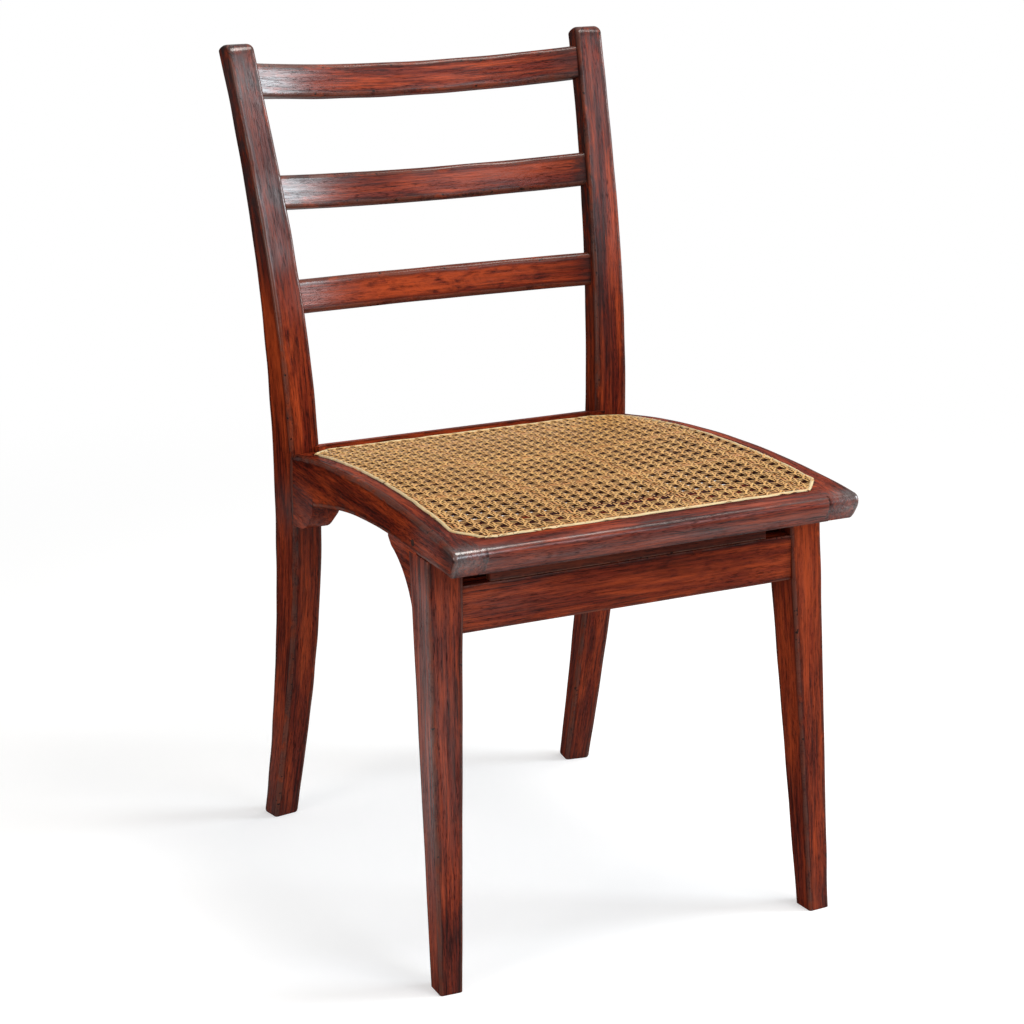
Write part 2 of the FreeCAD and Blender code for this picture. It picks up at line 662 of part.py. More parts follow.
def slat_blank(prefix):
    """A band between two arcs of one centre, raised by its height, with its long edges eased."""
    body = new_body(f"{prefix}_slat_blank")
    sketch = new_sketch(body, f"{prefix}_slat_plan", "XY_Plane")
    inner = size("slat_curve")
    outer = inner + size("slat_thickness")
    centre = Vector(0, size("slat_bow") - inner, 0)
    half = size("slat_half_span")
    for radius in (inner, outer):
        spread = math.asin(half / radius)
        circle = Part.Circle(centre, Vector(0, 0, 1), radius)
        middle = math.pi / 2
        sketch.addGeometry(Part.ArcOfCircle(circle, middle - spread, middle + spread), False)
    for sign in (1, -1):
        near = Vector(sign * half, centre.y + math.sqrt(inner ** 2 - half ** 2), 0)
        far = Vector(sign * half, centre.y + math.sqrt(outer ** 2 - half ** 2), 0)
        sketch.addGeometry(Part.LineSegment(near, far), False)
    joints = ((0, 1, 2, 1), (1, 1, 2, 2), (0, 2, 3, 1), (1, 2, 3, 2))
    for joint in joints:
        sketch.addConstraint(Sketcher.Constraint("Coincident", *joint))
    sketch.addConstraint(Sketcher.Constraint("Coincident", 0, 3, 1, 3))
    sketch.addConstraint(Sketcher.Constraint("Vertical", 2))
    sketch.addConstraint(Sketcher.Constraint("Vertical", 3))
    sketch.addConstraint(Sketcher.Constraint("PointOnObject", 0, 3, -2))
    bind(sketch, "Radius", (0,), term("slat_curve"), "front_curve")
    bind(sketch, "Radius", (1,), term("slat_curve", "slat_thickness"), "back_curve")
    bind(sketch, "DistanceY", (-1, 1, 0, 3), term("slat_bow", "-slat_curve"), "centre")
    bind(sketch, "DistanceX", (-1, 1, 2, 1), term("slat_half_span"), "right_end")
    bind(sketch, "DistanceX", (3, 1, -1, 1), term("slat_half_span"), "left_end")
    band = pad(body, sketch, term("slat_height"))
    doc.recompute()
    long_edges = edges_where(band, lambda point: True, half)
    ease = body.newObject("PartDesign::Fillet", f"{prefix}_slat_ease")
    ease.Base = (band, [f"Edge{number}" for number in long_edges])
    ease.setExpression("Radius", "Sizes.slat_round")
    body.Placement = slat_frame(prefix)
    return body


def slat_tenon(prefix):
    """The right tenon of a slat, from inside the slat to its end in the post."""
    start = size("slat_half_span") - size("slat_tenon_root")
    length = term(f"{prefix}_slat_reach", "slat_tenon_root", "-slat_half_span")
    low = (start, size("slat_thickness") / 4, (size("slat_height") - size("slat_tenon_height")) / 2)
    return box(f"{prefix}_slat_tenon", low,
               (length, term("slat_tenon_thickness"), term("slat_tenon_height")),
               slat_frame(prefix))


# Corbels under the side rails against the posts, and brackets behind the front legs

def leaning(x, y):
    """Turned in plan to follow the outer face of the side rail, about a point on that face."""
    turn = Rotation(Vector(0, 0, 1), -size("leg_top_turn"))
    return Placement(Vector(), turn, Vector(size(x), size(y), 0))


def corbel_blank():
    """The right corbel: a small upright front, then a rounded sweep to a short underside."""
    body = new_body("corbel_blank")
    corners = [(term("corbel_front_y"), term("corbel_blank_top_z")),
               (term("corbel_front_y"), term("corbel_lip_z")),
               (term("corbel_foot_y"), term("corbel_foot_z")),
               (term("rail_end_y"), term("corbel_back_z")),
               (term("rail_end_y"), term("corbel_blank_top_z"))]
    sketch = outline(body, "corbel_side", "YZ_Plane", corners,
                     {1: (term("corbel_sweep"), 1)})
    inner = term("rail_rear_x", "-corbel_width", "corbel_flush")
    block = pad(body, sketch, term("corbel_width"), inner)
    doc.recompute()
    lower_edge = edges_where(block, lambda point: abs(point.x - inner[0]) < NEAR
                             and point.z < size("corbel_foot_z") + NEAR)
    chamfer = body.newObject("PartDesign::Chamfer", "corbel_chamfer")
    chamfer.Base = (block, [f"Edge{number}" for number in lower_edge])
    chamfer.setExpression("Size", "Sizes.corbel_chamfer")
    body.Placement = leaning("rail_rear_x", "corbel_foot_y")
    return body


def knee_blank():
    """The right knee bracket: a blunt toe under the rail and a hollow sweep down the leg."""
    body = new_body("knee_blank")
    corners = [(term("knee_toe_y"), term("knee_blank_top_z")),
               (term("knee_toe_y"), term("rail_under_z")),
               (term("knee_lip_y"), term("knee_lip_z")),
               (term("knee_foot_y"), term("knee_foot_z")),
               (term("knee_back_y"), term("knee_foot_z")),
               (term("knee_back_y"), term("knee_blank_top_z"))]
    sketch = outline(body, "knee_side", "YZ_Plane", corners, {2: (term("knee_sweep"), 1)})
    pad(body, sketch, term("knee_width"), term("leg_top_x", "-knee_width"))
    body.Placement = leaning("leg_top_x", "leg_top_y")
    return body


# The cane: a holed sheet that follows the crown, and the spline that holds its edge

def cane_corners(inset):
    """The plan of the cane, drawn in by an inset on every side."""
    half = [(size("cane_rear_x"), size("cane_rear_y")),
            (size("cane_side_rear_x"), size("cane_side_rear_y")),
            (size("cane_side_front_x"), size("cane_side_front_y")),
            (size("cane_front_x"), size("cane_front_y"))]
    corners = half + [(-x, y) for x, y in reversed(half)]
    wire = Part.makePolygon([Vector(x, y, 0) for x, y in corners + corners[:1]])
    return wire if inset == 0 else wire.makeOffset2D(-inset, join=2)


def holed_sheet_face():
    """The cane's plan with its gaps: eight sided, on a square grid about the middle line."""
    inset = size("spline_width")
    border = cane_corners(inset)
    pitch = size("cane_pitch")
    reach = size("cane_gap") / 2 / math.cos(math.pi / 8)
    room = Part.Face(cane_corners(inset + reach + size("cane_margin")))
    middle_y = (size("cane_rear_y") + size("cane_front_y")) / 2
    columns = int(size("cane_side_front_x") / pitch)
    rows = int((size("cane_rear_y") - size("cane_front_y")) / 2 / pitch)
    gaps = []
    for column in range(-columns, columns + 1):
        for row_number in range(-rows, rows + 1):
            centre = Vector(column * pitch, middle_y + row_number * pitch, 0)
            if not room.isInside(centre, NEAR, True):
                continue
            corners = []
            for corner in range(9):
                angle = math.pi / 8 + corner * math.pi / 4
                corners.append(centre + Vector(math.cos(angle), math.sin(angle), 0) * reach)
            gaps.append(Part.makePolygon(corners))
    print("gaps in the cane", len(gaps))
    return Part.Face([border] + gaps)


def raised(name, face, band):
    """The part of a crowned band that stands over a plan face."""
    face.translate(Vector(0, 0, size("stock_low")))
    prism = face.extrude(Vector(0, 0, size("stock_tall")))
    solid = doc.addObject("Part::Feature", name)
    solid.Shape = prism.common(band.Shape)
    return solid


def tenon(name, *sides):
    """A tenon box from its lowest corner in the sheet, with its mirror image."""
    low = [size(f"{name}_tenon_{axis}") for axis in "xyz"]
    right = box(f"{name}_tenon", low, [term(side) for side in sides])
    return right, mirrored(f"{name}_tenon_left", right)


def peg(name):
    """A dowel through the side rail's outer wall into the front leg's tenon."""
    dowel = doc.addObject("Part::Cylinder", name)
    dowel.setExpression("Radius", "Sizes.peg_diameter / 2")
    dowel.setExpression("Height", "Sizes.peg_depth")
    along = Rotation(Vector(0, 1, 0), 90)
    start = Vector(size("peg_x"), size("peg_y"), size("peg_z"))
    dowel.Placement = Placement(start, along)
    return dowel


# Blanks

post = post_blank()
post_left = mirrored("post_blank_left", post)
profile = seat_profile()
side = side_rail_blank(profile)
side_left = mirrored("side_rail_blank_left", side)
leg = leg_blank()
leg_left = mirrored("leg_blank_left", leg)
front_y = term("nose_y", "-nose_round")
back_y = term("stock_back_y")
under = {name: (-size(name), f"-Sizes.{name}") for name in ("cane_thickness", "spline_depth")}
over = {name: term(name) for name in ("cane_clear", "spline_proud")}
flush = (0.0, "0")
below = (-size("crown_stock"), "-Sizes.crown_stock")
crown = crown_band("below_crown", flush, below, front_y, back_y)
bed_band = crown_band("bed_band", over["cane_clear"], under["cane_thickness"], front_y, back_y)
groove_band = crown_band("groove_band", over["cane_clear"], under["spline_depth"], front_y, back_y)
spline_band = crown_band("spline_band", over["spline_proud"], under["spline_depth"], front_y, back_y)
cane_band = crown_band("cane_band", flush, under["cane_thickness"], front_y, back_y)
doc.recompute()
front_rail = front_rail_blank(profile)
back_rail = back_rail_blank(crown)
apron = apron_blank()

# Tenons and pegs
slats = {}
for place in ("top", "middle", "lower"):
    right_tenon = slat_tenon(place)
    slats[place] = (slat_blank(place), right_tenon,
                    mirrored(f"{place}_slat_tenon_left", right_tenon))
side_tenon, side_tenon_left = tenon(
    "side", "rail_tenon_thickness", "side_tenon_length", "rail_tenon_height")
back_tenon, back_tenon_left = tenon(
    "back", "back_tenon_length", "rail_tenon_thickness", "rail_tenon_height")
front_tenon, front_tenon_left = tenon(
    "front", "front_tenon_length", "rail_tenon_height", "rail_tenon_thickness")
leg_tenon, leg_tenon_left = tenon(
    "leg", "rail_tenon_thickness", "leg_tenon_width", "leg_tenon_height")
apron_tenon, apron_tenon_left = tenon(
    "apron", "apron_tenon_length", "rail_tenon_thickness", "rail_tenon_height")
peg_right = peg("peg_right")
peg_left = mirrored("peg_left", peg_right)

# The cane's edge: a groove for the spline, and a shallow bed that the sheet lies in
middle = Part.Face(cane_corners(size("spline_width")))
ring = Part.Face(cane_corners(0)).cut(middle).Faces[0]
groove = raised("cane_groove", ring.copy(), groove_band)
bed = raised("cane_bed", middle.copy(), bed_band)
recess = fuse("cane_recess", groove, bed)

# The pieces
nodes = {}
nodes["back_post_right"] = cut("back_post_right", post, side_tenon, back_tenon,
                               *[slats[place][1] for place in slats])
nodes["back_post_left"] = mirrored("back_post_left", nodes["back_post_right"])
for place, label in (("top", "top_back_rail"), ("middle", "middle_back_slat"),
                     ("lower", "lower_back_slat")):
    blank, right_tenon, left_tenon = slats[place]
    scribed = cut(f"{place}_slat_scribed", blank, post, post_left)
    nodes[label] = fuse(label, scribed, right_tenon, left_tenon)
scribed = cut("side_rail_scribed", side, post)
nodes["seat_side_rail_right"] = cut("seat_side_rail_right",
                                    fuse("side_rail_tenoned", scribed, side_tenon),
                                    recess, front_tenon, leg_tenon, peg_right)
nodes["seat_side_rail_left"] = mirrored("seat_side_rail_left", nodes["seat_side_rail_right"])
scribed = cut("front_rail_scribed", front_rail, side, side_left)
nodes["seat_front_rail"] = cut("seat_front_rail",
                               fuse("front_rail_tenoned", scribed, front_tenon, front_tenon_left),
                               recess)
scribed = cut("back_rail_scribed", back_rail, post, post_left, side, side_left)
nodes["seat_back_rail"] = cut("seat_back_rail",
                              fuse("back_rail_tenoned", scribed, back_tenon, back_tenon_left),
                              recess)
nodes["front_leg_right"] = cut("front_leg_right", fuse("leg_tenoned", leg, leg_tenon),
                               apron_tenon, peg_right)
nodes["front_leg_left"] = mirrored("front_leg_left", nodes["front_leg_right"])
scribed = cut("apron_scribed", apron, leg, leg_left)
nodes["front_apron"] = fuse("front_apron", scribed, apron_tenon, apron_tenon_left)
nodes["front_spacer_strip"] = box(
    "front_spacer_strip",
    (-size("strip_half_length"), size("apron_front_y") + size("strip_setback"),
     size("apron_top_z")),
    (term("strip_half_length", "strip_half_length"), term("strip_thickness"),
     term("rail_under_z", "-apron_top_z")))
nodes["rear_corbel_right"] = cut("rear_corbel_right", corbel_blank(), post, side)
nodes["rear_corbel_left"] = mirrored("rear_corbel_left", nodes["rear_corbel_right"])
nodes["knee_bracket_right"] = cut("knee_bracket_right", knee_blank(), leg, side)
nodes["knee_bracket_left"] = mirrored("knee_bracket_left", nodes["knee_bracket_right"])
nodes["cane_panel"] = raised("cane_panel", holed_sheet_face(), cane_band)
nodes["cane_spline"] = raised("cane_spline", ring, spline_band)
pegs = doc.addObject("Part::Compound", "joint_pegs")
pegs.Links = [peg_right, peg_left]
nodes["joint_pegs"] = pegs

for label, piece in nodes.items():
    piece.Label = label
doc.recompute()

# Every object must have built, and every piece must be sound, before any is written
for item in doc.Objects:
    if "Invalid" in item.State or "Error" in item.State:
        raise RuntimeError(f"{item.Name} did not build: {item.State}")
for label, piece in nodes.items():
    if piece.Shape.isNull() or not piece.Shape.isValid():
        raise RuntimeError(f"{label} has no sound shape")
    expected = 2 if label == "joint_pegs" else 1
    if len(piece.Shape.Solids) != expected:
        raise RuntimeError(f"{label} has {len(piece.Shape.Solids)} solids")
    print(f"{label}: {piece.Shape.Volume / 1000:.1f} cm3")

os.makedirs("parts", exist_ok=True)
for label, piece in nodes.items():
    piece.Shape.exportStep(f"parts/{label}.step")
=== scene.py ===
# A ladderback chair with a woven cane seat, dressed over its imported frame
import math

import bmesh
import bpy
import numpy as np
from mathutils import Matrix, Vector


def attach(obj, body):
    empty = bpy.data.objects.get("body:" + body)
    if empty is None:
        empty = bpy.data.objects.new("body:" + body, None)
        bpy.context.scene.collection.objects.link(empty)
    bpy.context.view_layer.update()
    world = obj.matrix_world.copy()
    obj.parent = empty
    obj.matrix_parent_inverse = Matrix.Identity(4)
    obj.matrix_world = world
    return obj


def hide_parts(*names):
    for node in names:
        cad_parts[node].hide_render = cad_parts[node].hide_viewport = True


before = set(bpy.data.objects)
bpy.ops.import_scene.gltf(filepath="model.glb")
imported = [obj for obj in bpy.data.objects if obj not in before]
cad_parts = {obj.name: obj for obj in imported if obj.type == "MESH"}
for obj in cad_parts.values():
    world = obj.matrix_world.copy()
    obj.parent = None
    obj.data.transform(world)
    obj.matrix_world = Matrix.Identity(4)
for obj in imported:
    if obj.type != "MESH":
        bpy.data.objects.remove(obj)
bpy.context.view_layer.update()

MM = 0.001

# Heights and places of the back post's five sections, right side: outer front corner, width, depth and turn
POST_HEIGHTS = (0, 200, 420, 640, 869)
POST_CORNER_X = (203, 201, 203, 210.8, 223.2)
POST_CORNER_Y = (228, 174, 147.8, 177, 249)
POST_WIDTH = (30, 34, 36, 34.2, 30.5)
POST_DEPTH = (26, 35, 41, 32, 28.5)
POST_TURN = (9, 9.5, 10, 7.3, 4.3)
POST_EDGE = 3.5
POST_TOP_Z = 868
POST_TOP_EDGE = 4.5
POST_FOOT_SHARE = 0.3
POST_ARCH_FROM = 820
POST_TOP_CENTRE_Y = 258.5
POST_TOP_CENTRE_Z = 845.5
POST_TOP_RADIUS = 22.5

# The front leg's foot and top: outer front corner, width and depth
LEG_FOOT = (224.8, -256.7, 24, 25.5)
LEG_TOP = (219.3, -225, 37.5, 46.5)
LEG_TOP_Z = 431.5
LEG_EDGE = 2.5
SIDE_TURN = 2.6

# The seat's crown is one circle in side view; the nose is a small circle inside it
CROWN_Y = -113
CROWN_Z = -1046.4
CROWN_RADIUS = 1515
NOSE_Y = -281.24
NOSE_Z = 450.68
NOSE_RADIUS = 8.5
NOSE_LOW_Y = -288.5
NOSE_LOW_Z = 446.25
NOSE_HEEL_Y = -279.5
UNDERSIDE_Z = 431.5
ARCH_START_Y = -130
ARCH_RADIUS = 860
RAIL_REAR_Y = 164
RAIL_OUTER_X = 201.6
RAIL_TAPER = math.tan(math.radians(SIDE_TURN))
RAIL_WIDTH = 36
RAIL_EDGE = 4
FRONT_RAIL_BACK = -217.5
FRONT_RAIL_HALF = 192
BACK_RAIL = (143, 175, 404)
BACK_RAIL_PROUD = 6

# The cane's outline, half of it, from the back to the front, and the step down to its bed
GROOVE = ((160, 157), (187.5, 128), (202, -239), (180, -266))
BED_DEPTH = 1.6

# Slats: y and z of the lower front edge, backward tilt and half length of each, and their common section
SLATS = {
    "top_back_rail": (240.5, 814, 19, 205),
    "middle_back_slat": (203.5, 699.5, 15.5, 199),
    "lower_back_slat": (177.5, 590.3, 10, 193),
}
SLAT_CURVE = 585
SLAT_BOW = 30
SLAT_THICK = 16
SLAT_HIGH = 36.5
SLAT_EDGE = 5

APRON = (-227.5, -207.5, 357, 404.5)
APRON_HALF = 196
STRIP = (-227, -217, 404.5, 431.5)
STRIP_HALF = 154

# Front corner block, right side: from and to across, then front, back, bottom and top
GLUE_BLOCK_X = (146, 190)
GLUE_BLOCK = (-206, -178, 402, 431.6)

# Hand-worked unevenness in mm: the most that a flat swells, and the wavelengths of edges and flats
MOST_SWELL = 0.05
BEVEL_WAVE = 90
FLAT_WAVE = 130

# The grain of each piece starts at its own place in the figure, in metres
GRAIN_START = (-4, 4)

# Distance from an arris given to every point of a small block, in metres
BLOCK_EDGE_GAP = 0.004
BLOCK_EASE = 0.7
PEG_EASE = 0.25

SEED = 41


# Surfaces
def smooth_run(values, heights, where):
    """The polynomial of degree four through five measured values, read at the wanted heights."""
    return np.polyval(np.polyfit(heights, values, 4), where)


def rounded_ring(corners, radii, inset, arc_points=6, side_points=6):
    """A polygon with rounded corners at each station of a bar.

    Each corner becomes an arc tangent to its two sides, and each side is divided evenly between its arcs.
    inset moves every side inwards. Gives the points, and how far each lies from the nearest arris."""
    before = np.roll(corners, 1, axis=1) - corners
    after = np.roll(corners, -1, axis=1) - corners
    before /= np.linalg.norm(before, axis=2, keepdims=True) + 1e-12
    after /= np.linalg.norm(after, axis=2, keepdims=True) + 1e-12
    half = 0.5 * np.arccos(np.clip((before * after).sum(2), -0.999999, 0.999999))
    bisector = before + after
    bisector /= np.linalg.norm(bisector, axis=2, keepdims=True) + 1e-12
    cross = after[..., 0] * before[..., 1] - after[..., 1] * before[..., 0]
    bend = np.where(cross * np.sign(cross.sum(1, keepdims=True)) < 0, -1, 1)
    moved = corners + bisector * (bend * inset[:, None] / np.sin(half))[..., None]
    centre = moved + bisector * (radii / np.sin(half))[..., None]
    start = moved + before * (radii / np.tan(half))[..., None] - centre
    end = moved + after * (radii / np.tan(half))[..., None] - centre
    angle = (math.pi - 2 * half)[..., None, None]
    part = np.linspace(0, 1, arc_points)[None, None, :, None]
    arc = (np.sin((1 - part) * angle) * start[:, :, None] + np.sin(part * angle) * end[:, :, None])
    arc = arc / np.sin(angle) + centre[:, :, None]
    leave = (centre + end)[:, :, None]
    reach = np.roll(centre + start, -1, axis=1)[:, :, None]
    along = (np.arange(1, side_points + 1) / (side_points + 1))[None, None, :, None]
    side = leave + (reach - leave) * along
    length = np.linalg.norm(reach - leave, axis=3)
    from_edge = np.minimum(along[..., 0], 1 - along[..., 0]) * length
    stations, count = corners.shape[:2]
    ring = np.concatenate((arc, side), axis=2).reshape(stations, -1, 2)
    edge = np.concatenate((np.zeros(arc.shape[:3]), from_edge), axis=2).reshape(stations, -1)
    return ring, edge


def run_with_ends(first, last, step, ease):
    """Stations along a bar: its length, how far the section is inset, and how far it is drawn to its middle.

    Each end is a flat cap drawn out from its middle, then a quarter circle of radius ease."""
    count = max(int(round((last - first) / step)), 2)
    middle = np.linspace(first + ease, last - ease, count)
    turn = np.linspace(math.pi / 2, 0, 5)[:-1]
    cap = np.array((0, 0.3, 0.6, 0.85))
    start = first + ease * (1 - np.sin(turn))
    finish = (last - (start - first))[::-1]
    stations = np.concatenate((np.full(4, first), start, middle, finish, np.full(4, last)))
    round_inset = ease * (1 - np.cos(turn))
    flat_inset = np.full(4, ease)
    inset = np.concatenate((flat_inset, round_inset, np.zeros(count), round_inset[::-1], flat_inset))
    drawn = np.concatenate((cap, np.ones(count + 8), cap[::-1]))
    return stations, inset, drawn


def wander(rng, along, around, wavelength):
    """Slow unevenness from -1 to 1: three sine waves along the bar, each turned round its section."""
    total = np.zeros(np.broadcast(along, around).shape)
    for waves in range(3):
        phase, turn, stretch = rng.uniform(0, 2 * math.pi, 2).tolist() + [rng.uniform(0.6, 1.5)]
        total += np.sin(2 * math.pi * along / (wavelength * stretch) + phase + waves * around + turn)
    return total / 3


def put_values(mesh, label, values, vector=False):
    """Writes one number, or one vector, for each point of the mesh as a named attribute."""
    layer = mesh.attributes.new(label, "FLOAT_VECTOR" if vector else "FLOAT", "POINT")
    layer.data.foreach_set("vector" if vector else "value", np.asarray(values, dtype=np.float32).ravel())


def skin(name, points, attributes, sharp=38):
    """A mesh of quads over one grid of rings, or over several: each grid is closed round its rings, and its
    first and last rings are points."""
    grids = points if points.ndim == 4 else points[None]
    index = np.arange(grids[..., 0].size).reshape(grids.shape[:3])
    beside = np.roll(index, -1, axis=2)
    faces = np.stack((index[:, :-1], beside[:, :-1], beside[:, 1:], index[:, 1:]), axis=-1).reshape(-1, 4)
    mesh = bpy.data.meshes.new(name)
    mesh.from_pydata((points.reshape(-1, 3) * MM).tolist(), [], faces.tolist())
    for label, values in attributes.items():
        put_values(mesh, label, values, values.ndim == points.ndim)
    return finished(name, mesh, sharp)


# Where the sheen grows, and where the painted shade on sideways faces sets in: the height it starts at and
# the height over which it comes in, in mm
BACK_SHEEN = (520, 260)
LEG_SHEEN = (430, 60)
SHADED_SIDE = (600, 90)
NOSE_SHEEN_Y = -287
NOSE_SHEEN_REACH = 12
NOSE_SHEEN_Z = 428
BED_FLOOR_Z = 425

# Places on the chair where the finish differs: x, y, z, reach each way, strength.
# The first list darkens the colour: real staining at some places, painted shade at others, such as the right
# post's inner face, the left side rail's outer face, the strip under the front rail and the upper posts.
STAIN_AND_PAINTED_SHADE = (
    (212, -284, 455, 22, 22, 22, 0.95),
    (-212, -284, 455, 26, 22, 22, 0.95),
    (-175, 236, 828, 65, 30, 28, 0.97),
    (-170, 205, 715, 58, 30, 28, 0.9),
    (-155, 185, 606, 30, 30, 20, 0.3),
    (-215, 250, 868, 40, 50, 30, 0.97),
    (215, 250, 868, 40, 50, 26, 0.97),
    (-207, 215, 770, 40, 60, 90, 0.5),
    (212, 225, 800, 40, 60, 90, 0.4),
    (-196, 172, 655, 14, 40, 20, 0.75),
    (-222, -250, 0, 30, 30, 60, 0.35),
    (222, -250, 0, 30, 30, 60, 0.45),
    (-203, 235, 0, 30, 30, 60, 0.5),
    (203, 235, 0, 30, 30, 90, 0.6),
    (-201, 150, 385, 40, 50, 30, 0.6),
    (201, 150, 385, 40, 50, 30, 0.6),
    (-212, -60, 425, 30, 160, 30, 0.35),
    (0, -222, 420, 220, 8, 12, 0.5),
    (180, 200, 680, 14, 70, 240, 0.9),
    (20, 225, 722, 190, 30, 30, 0.3),
)
POLISHED = (
    (-165, 236, 832, 75, 40, 22, 0.9),
    (-160, 215, 716, 60, 40, 22, 0.66),
    (-150, 185, 608, 40, 40, 20, 0.45),
    (-40, 240, 838, 90, 40, 14, 0.25),
    (-212, 245, 820, 40, 60, 60, 0.6),
    (-203, 190, 690, 40, 50, 60, 0.3),
    (-196, 172, 655, 14, 40, 16, 0.5),
    (218, 245, 830, 40, 60, 50, 0.2),
    (-215, -288, 452, 30, 12, 14, 0.9),
    (215, -288, 452, 22, 12, 14, 0.9),
    (-212, -245, 300, 22, 20, 150, 0.38),
    (-150, -228, 385, 60, 10, 22, 0.18),
    (0, -286, 439, 230, 9, 8, 0.25),
)
SIDE_SHEEN = (
    (-225, -230, 270, 14, 40, 170, 0.6),
    (-224, -225, 395, 14, 50, 25, 0.3),
    (-206, 235, 60, 20, 40, 120, 0.12),
    (-206, 125, 385, 30, 50, 26, 0.22),
)
GLOWING = (
    (-20, 205, 605, 130, 30, 20, 0.7),
    (80, 225, 722, 70, 30, 16, 0.4),
    (60, -228, 378, 110, 10, 18, 0.35),
    (205, -235, 330, 25, 30, 90, 0.4),
    (-205, 170, 560, 20, 50, 60, 0.6),
    (40, 205, 612, 90, 30, 10, 0.5),
)


def soft_spots(places, spots):
    """How far each place lies inside any soft spot, where each spot is a bell curve."""
    left = np.ones(len(places))
    for spot in spots:
        gap = (places - np.array(spot[:3])) / np.array(spot[3:6])
        left *= 1 - spot[6] * np.exp(-(gap ** 2).sum(axis=1))
    return 1 - left


def over_cane_bed(places, facing):
    """Which places face up inside the cane's outline: the beds and the weave."""
    inside = np.abs(places[:, 0]) < groove_x(places[:, 1]) - 0.5
    return inside & (facing[:, 2] > 0.3) & (places[:, 2] > BED_FLOOR_Z)


def mark_finish(mesh):
    """Marks how polished each place is, how far it is darkened by staining and by painted shade, and how much
    brighter and warmer it is, from where it lies and which way it faces.
    """
    count = len(mesh.vertices)
    places, facing = np.empty(count * 3, dtype=np.float32), np.empty(count * 3, dtype=np.float32)
    mesh.vertices.foreach_get("co", places)
    mesh.vertex_normals.foreach_get("vector", facing)
    places, facing = places.reshape(-1, 3) / MM, facing.reshape(-1, 3)
    sideways = np.clip((np.abs(facing[:, 0]) - 0.5) / 0.3, 0, 1)
    high = np.clip((places[:, 2] - BACK_SHEEN[0]) / BACK_SHEEN[1], 0, 1)
    low = np.clip((LEG_SHEEN[0] - places[:, 2]) / LEG_SHEEN[1], 0, 1)
    nose = np.exp(-((places[:, 1] - NOSE_SHEEN_Y) / NOSE_SHEEN_REACH) ** 2) * (places[:, 2] > NOSE_SHEEN_Z)
    upwards = np.clip(facing[:, 2], 0, 1) * 0.3
    polish = 0.015 + 0.12 * high + 0.09 * low + 0.3 * nose + 0.5 * upwards + soft_spots(places, POLISHED)
    polish = polish * (1 - (0.92 - 0.3 * low) * sideways) + sideways * soft_spots(places, SIDE_SHEEN)
    # Painted shade: faces turned sideways grow darker from 600 mm up
    shaded = 0.8 * sideways * np.clip((places[:, 2] - SHADED_SIDE[0]) / SHADED_SIDE[1], 0, 1)
    # Painted shade: upward faces under the cane are darkened, and lose their polish
    painted_shade_under_cane = 0.95 * over_cane_bed(places, facing)
    # Staining and painted shade together: the listed spots, sideways faces high up and wood under the cane
    stain_and_shade = 1 - (1 - soft_spots(places, STAIN_AND_PAINTED_SHADE)) * (1 - shaded) * (1 - painted_shade_under_cane)
    put_values(mesh, "polish", np.clip(polish, 0, 1) * (1 - painted_shade_under_cane))
    put_values(mesh, "stain_and_shade", stain_and_shade)
    put_values(mesh, "glow", soft_spots(places, GLOWING))


def in_scene(name, data):
    """A new object of the scene that holds a mesh, a camera or a light."""
    piece = bpy.data.objects.new(name, data)
    bpy.context.scene.collection.objects.link(piece)
    return piece


def finished(name, mesh, sharp=38):
    """The mesh with its doubled points merged, faces outwards and smooth, as an object of the scene."""
    work = bmesh.new()
    work.from_mesh(mesh)
    bmesh.ops.remove_doubles(work, verts=work.verts, dist=1e-6)
    bmesh.ops.recalc_face_normals(work, faces=work.faces)
    work.to_mesh(mesh)
    work.free()
    mesh.polygons.foreach_set("use_smooth", np.ones(len(mesh.polygons), dtype=bool))
    mesh.set_sharp_from_angle(angle=math.radians(sharp))
    mesh.update()
    mark_finish(mesh)
    return in_scene(name, mesh)


def fit(piece, slot, *nodes):
    """The piece rides on the chair, takes the slot's finish and stands for its CAD nodes."""
    piece.data.materials.clear()
    piece.data.materials.append(finishes[slot])
    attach(piece, "root")
    if nodes:
        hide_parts(*nodes)
    return piece


def bar(place, seed, stations, inset, drawn, corners, radii, uneven=0.16, bevel_wander=0.22):
    """A piece of wood: a rounded section carried along its stations.

    The corner radii and the flats vary a little by slow sine waves, as on worn hand-planed wood. place
    turns a station and its section points into the chair's own millimetres. Gives points and attributes."""
    rng = np.random.default_rng(SEED + seed)
    around = np.arange(corners.shape[1])[None]
    worn = 1 + bevel_wander * wander(rng, stations[:, None], around * 1.7, BEVEL_WAVE)
    ring, edge = rounded_ring(corners, radii * worn, inset)
    middle = ring.mean(axis=1, keepdims=True)
    circle = np.linspace(0, 2 * math.pi, ring.shape[1], endpoint=False)[None]
    outward = ring - middle
    reach = np.linalg.norm(outward, axis=2, keepdims=True) + 1e-9
    swell = uneven * wander(rng, stations[:, None], circle, FLAT_WAVE)[..., None]
    swell = np.minimum(swell, MOST_SWELL)
    ring = middle + outward * (1 + swell / reach) * drawn[:, None, None]
    points = place(stations[:, None], ring)
    offset = rng.uniform(*GRAIN_START, 3)
    grain = np.concatenate((ring, np.broadcast_to(stations[:, None, None], ring.shape[:2] + (1,))), axis=2)
    return points, {"grain": grain * MM + offset, "edge": edge * MM * drawn[:, None]}


def mirrored(points):
    """The same surface on the chair's other side."""
    return points * np.array((-1, 1, 1))


def make_wood(names, place, seed, shape, *worn, slot="frame_wood"):
    """One piece of wood, or a right and a left one of the same form, each with its own grain."""
    for side, name in enumerate(names):
        points, marks = bar(place, seed + side, *shape, *worn)
        fit(skin(name + "_wood", points if side == 0 else mirrored(points), marks), slot, name)


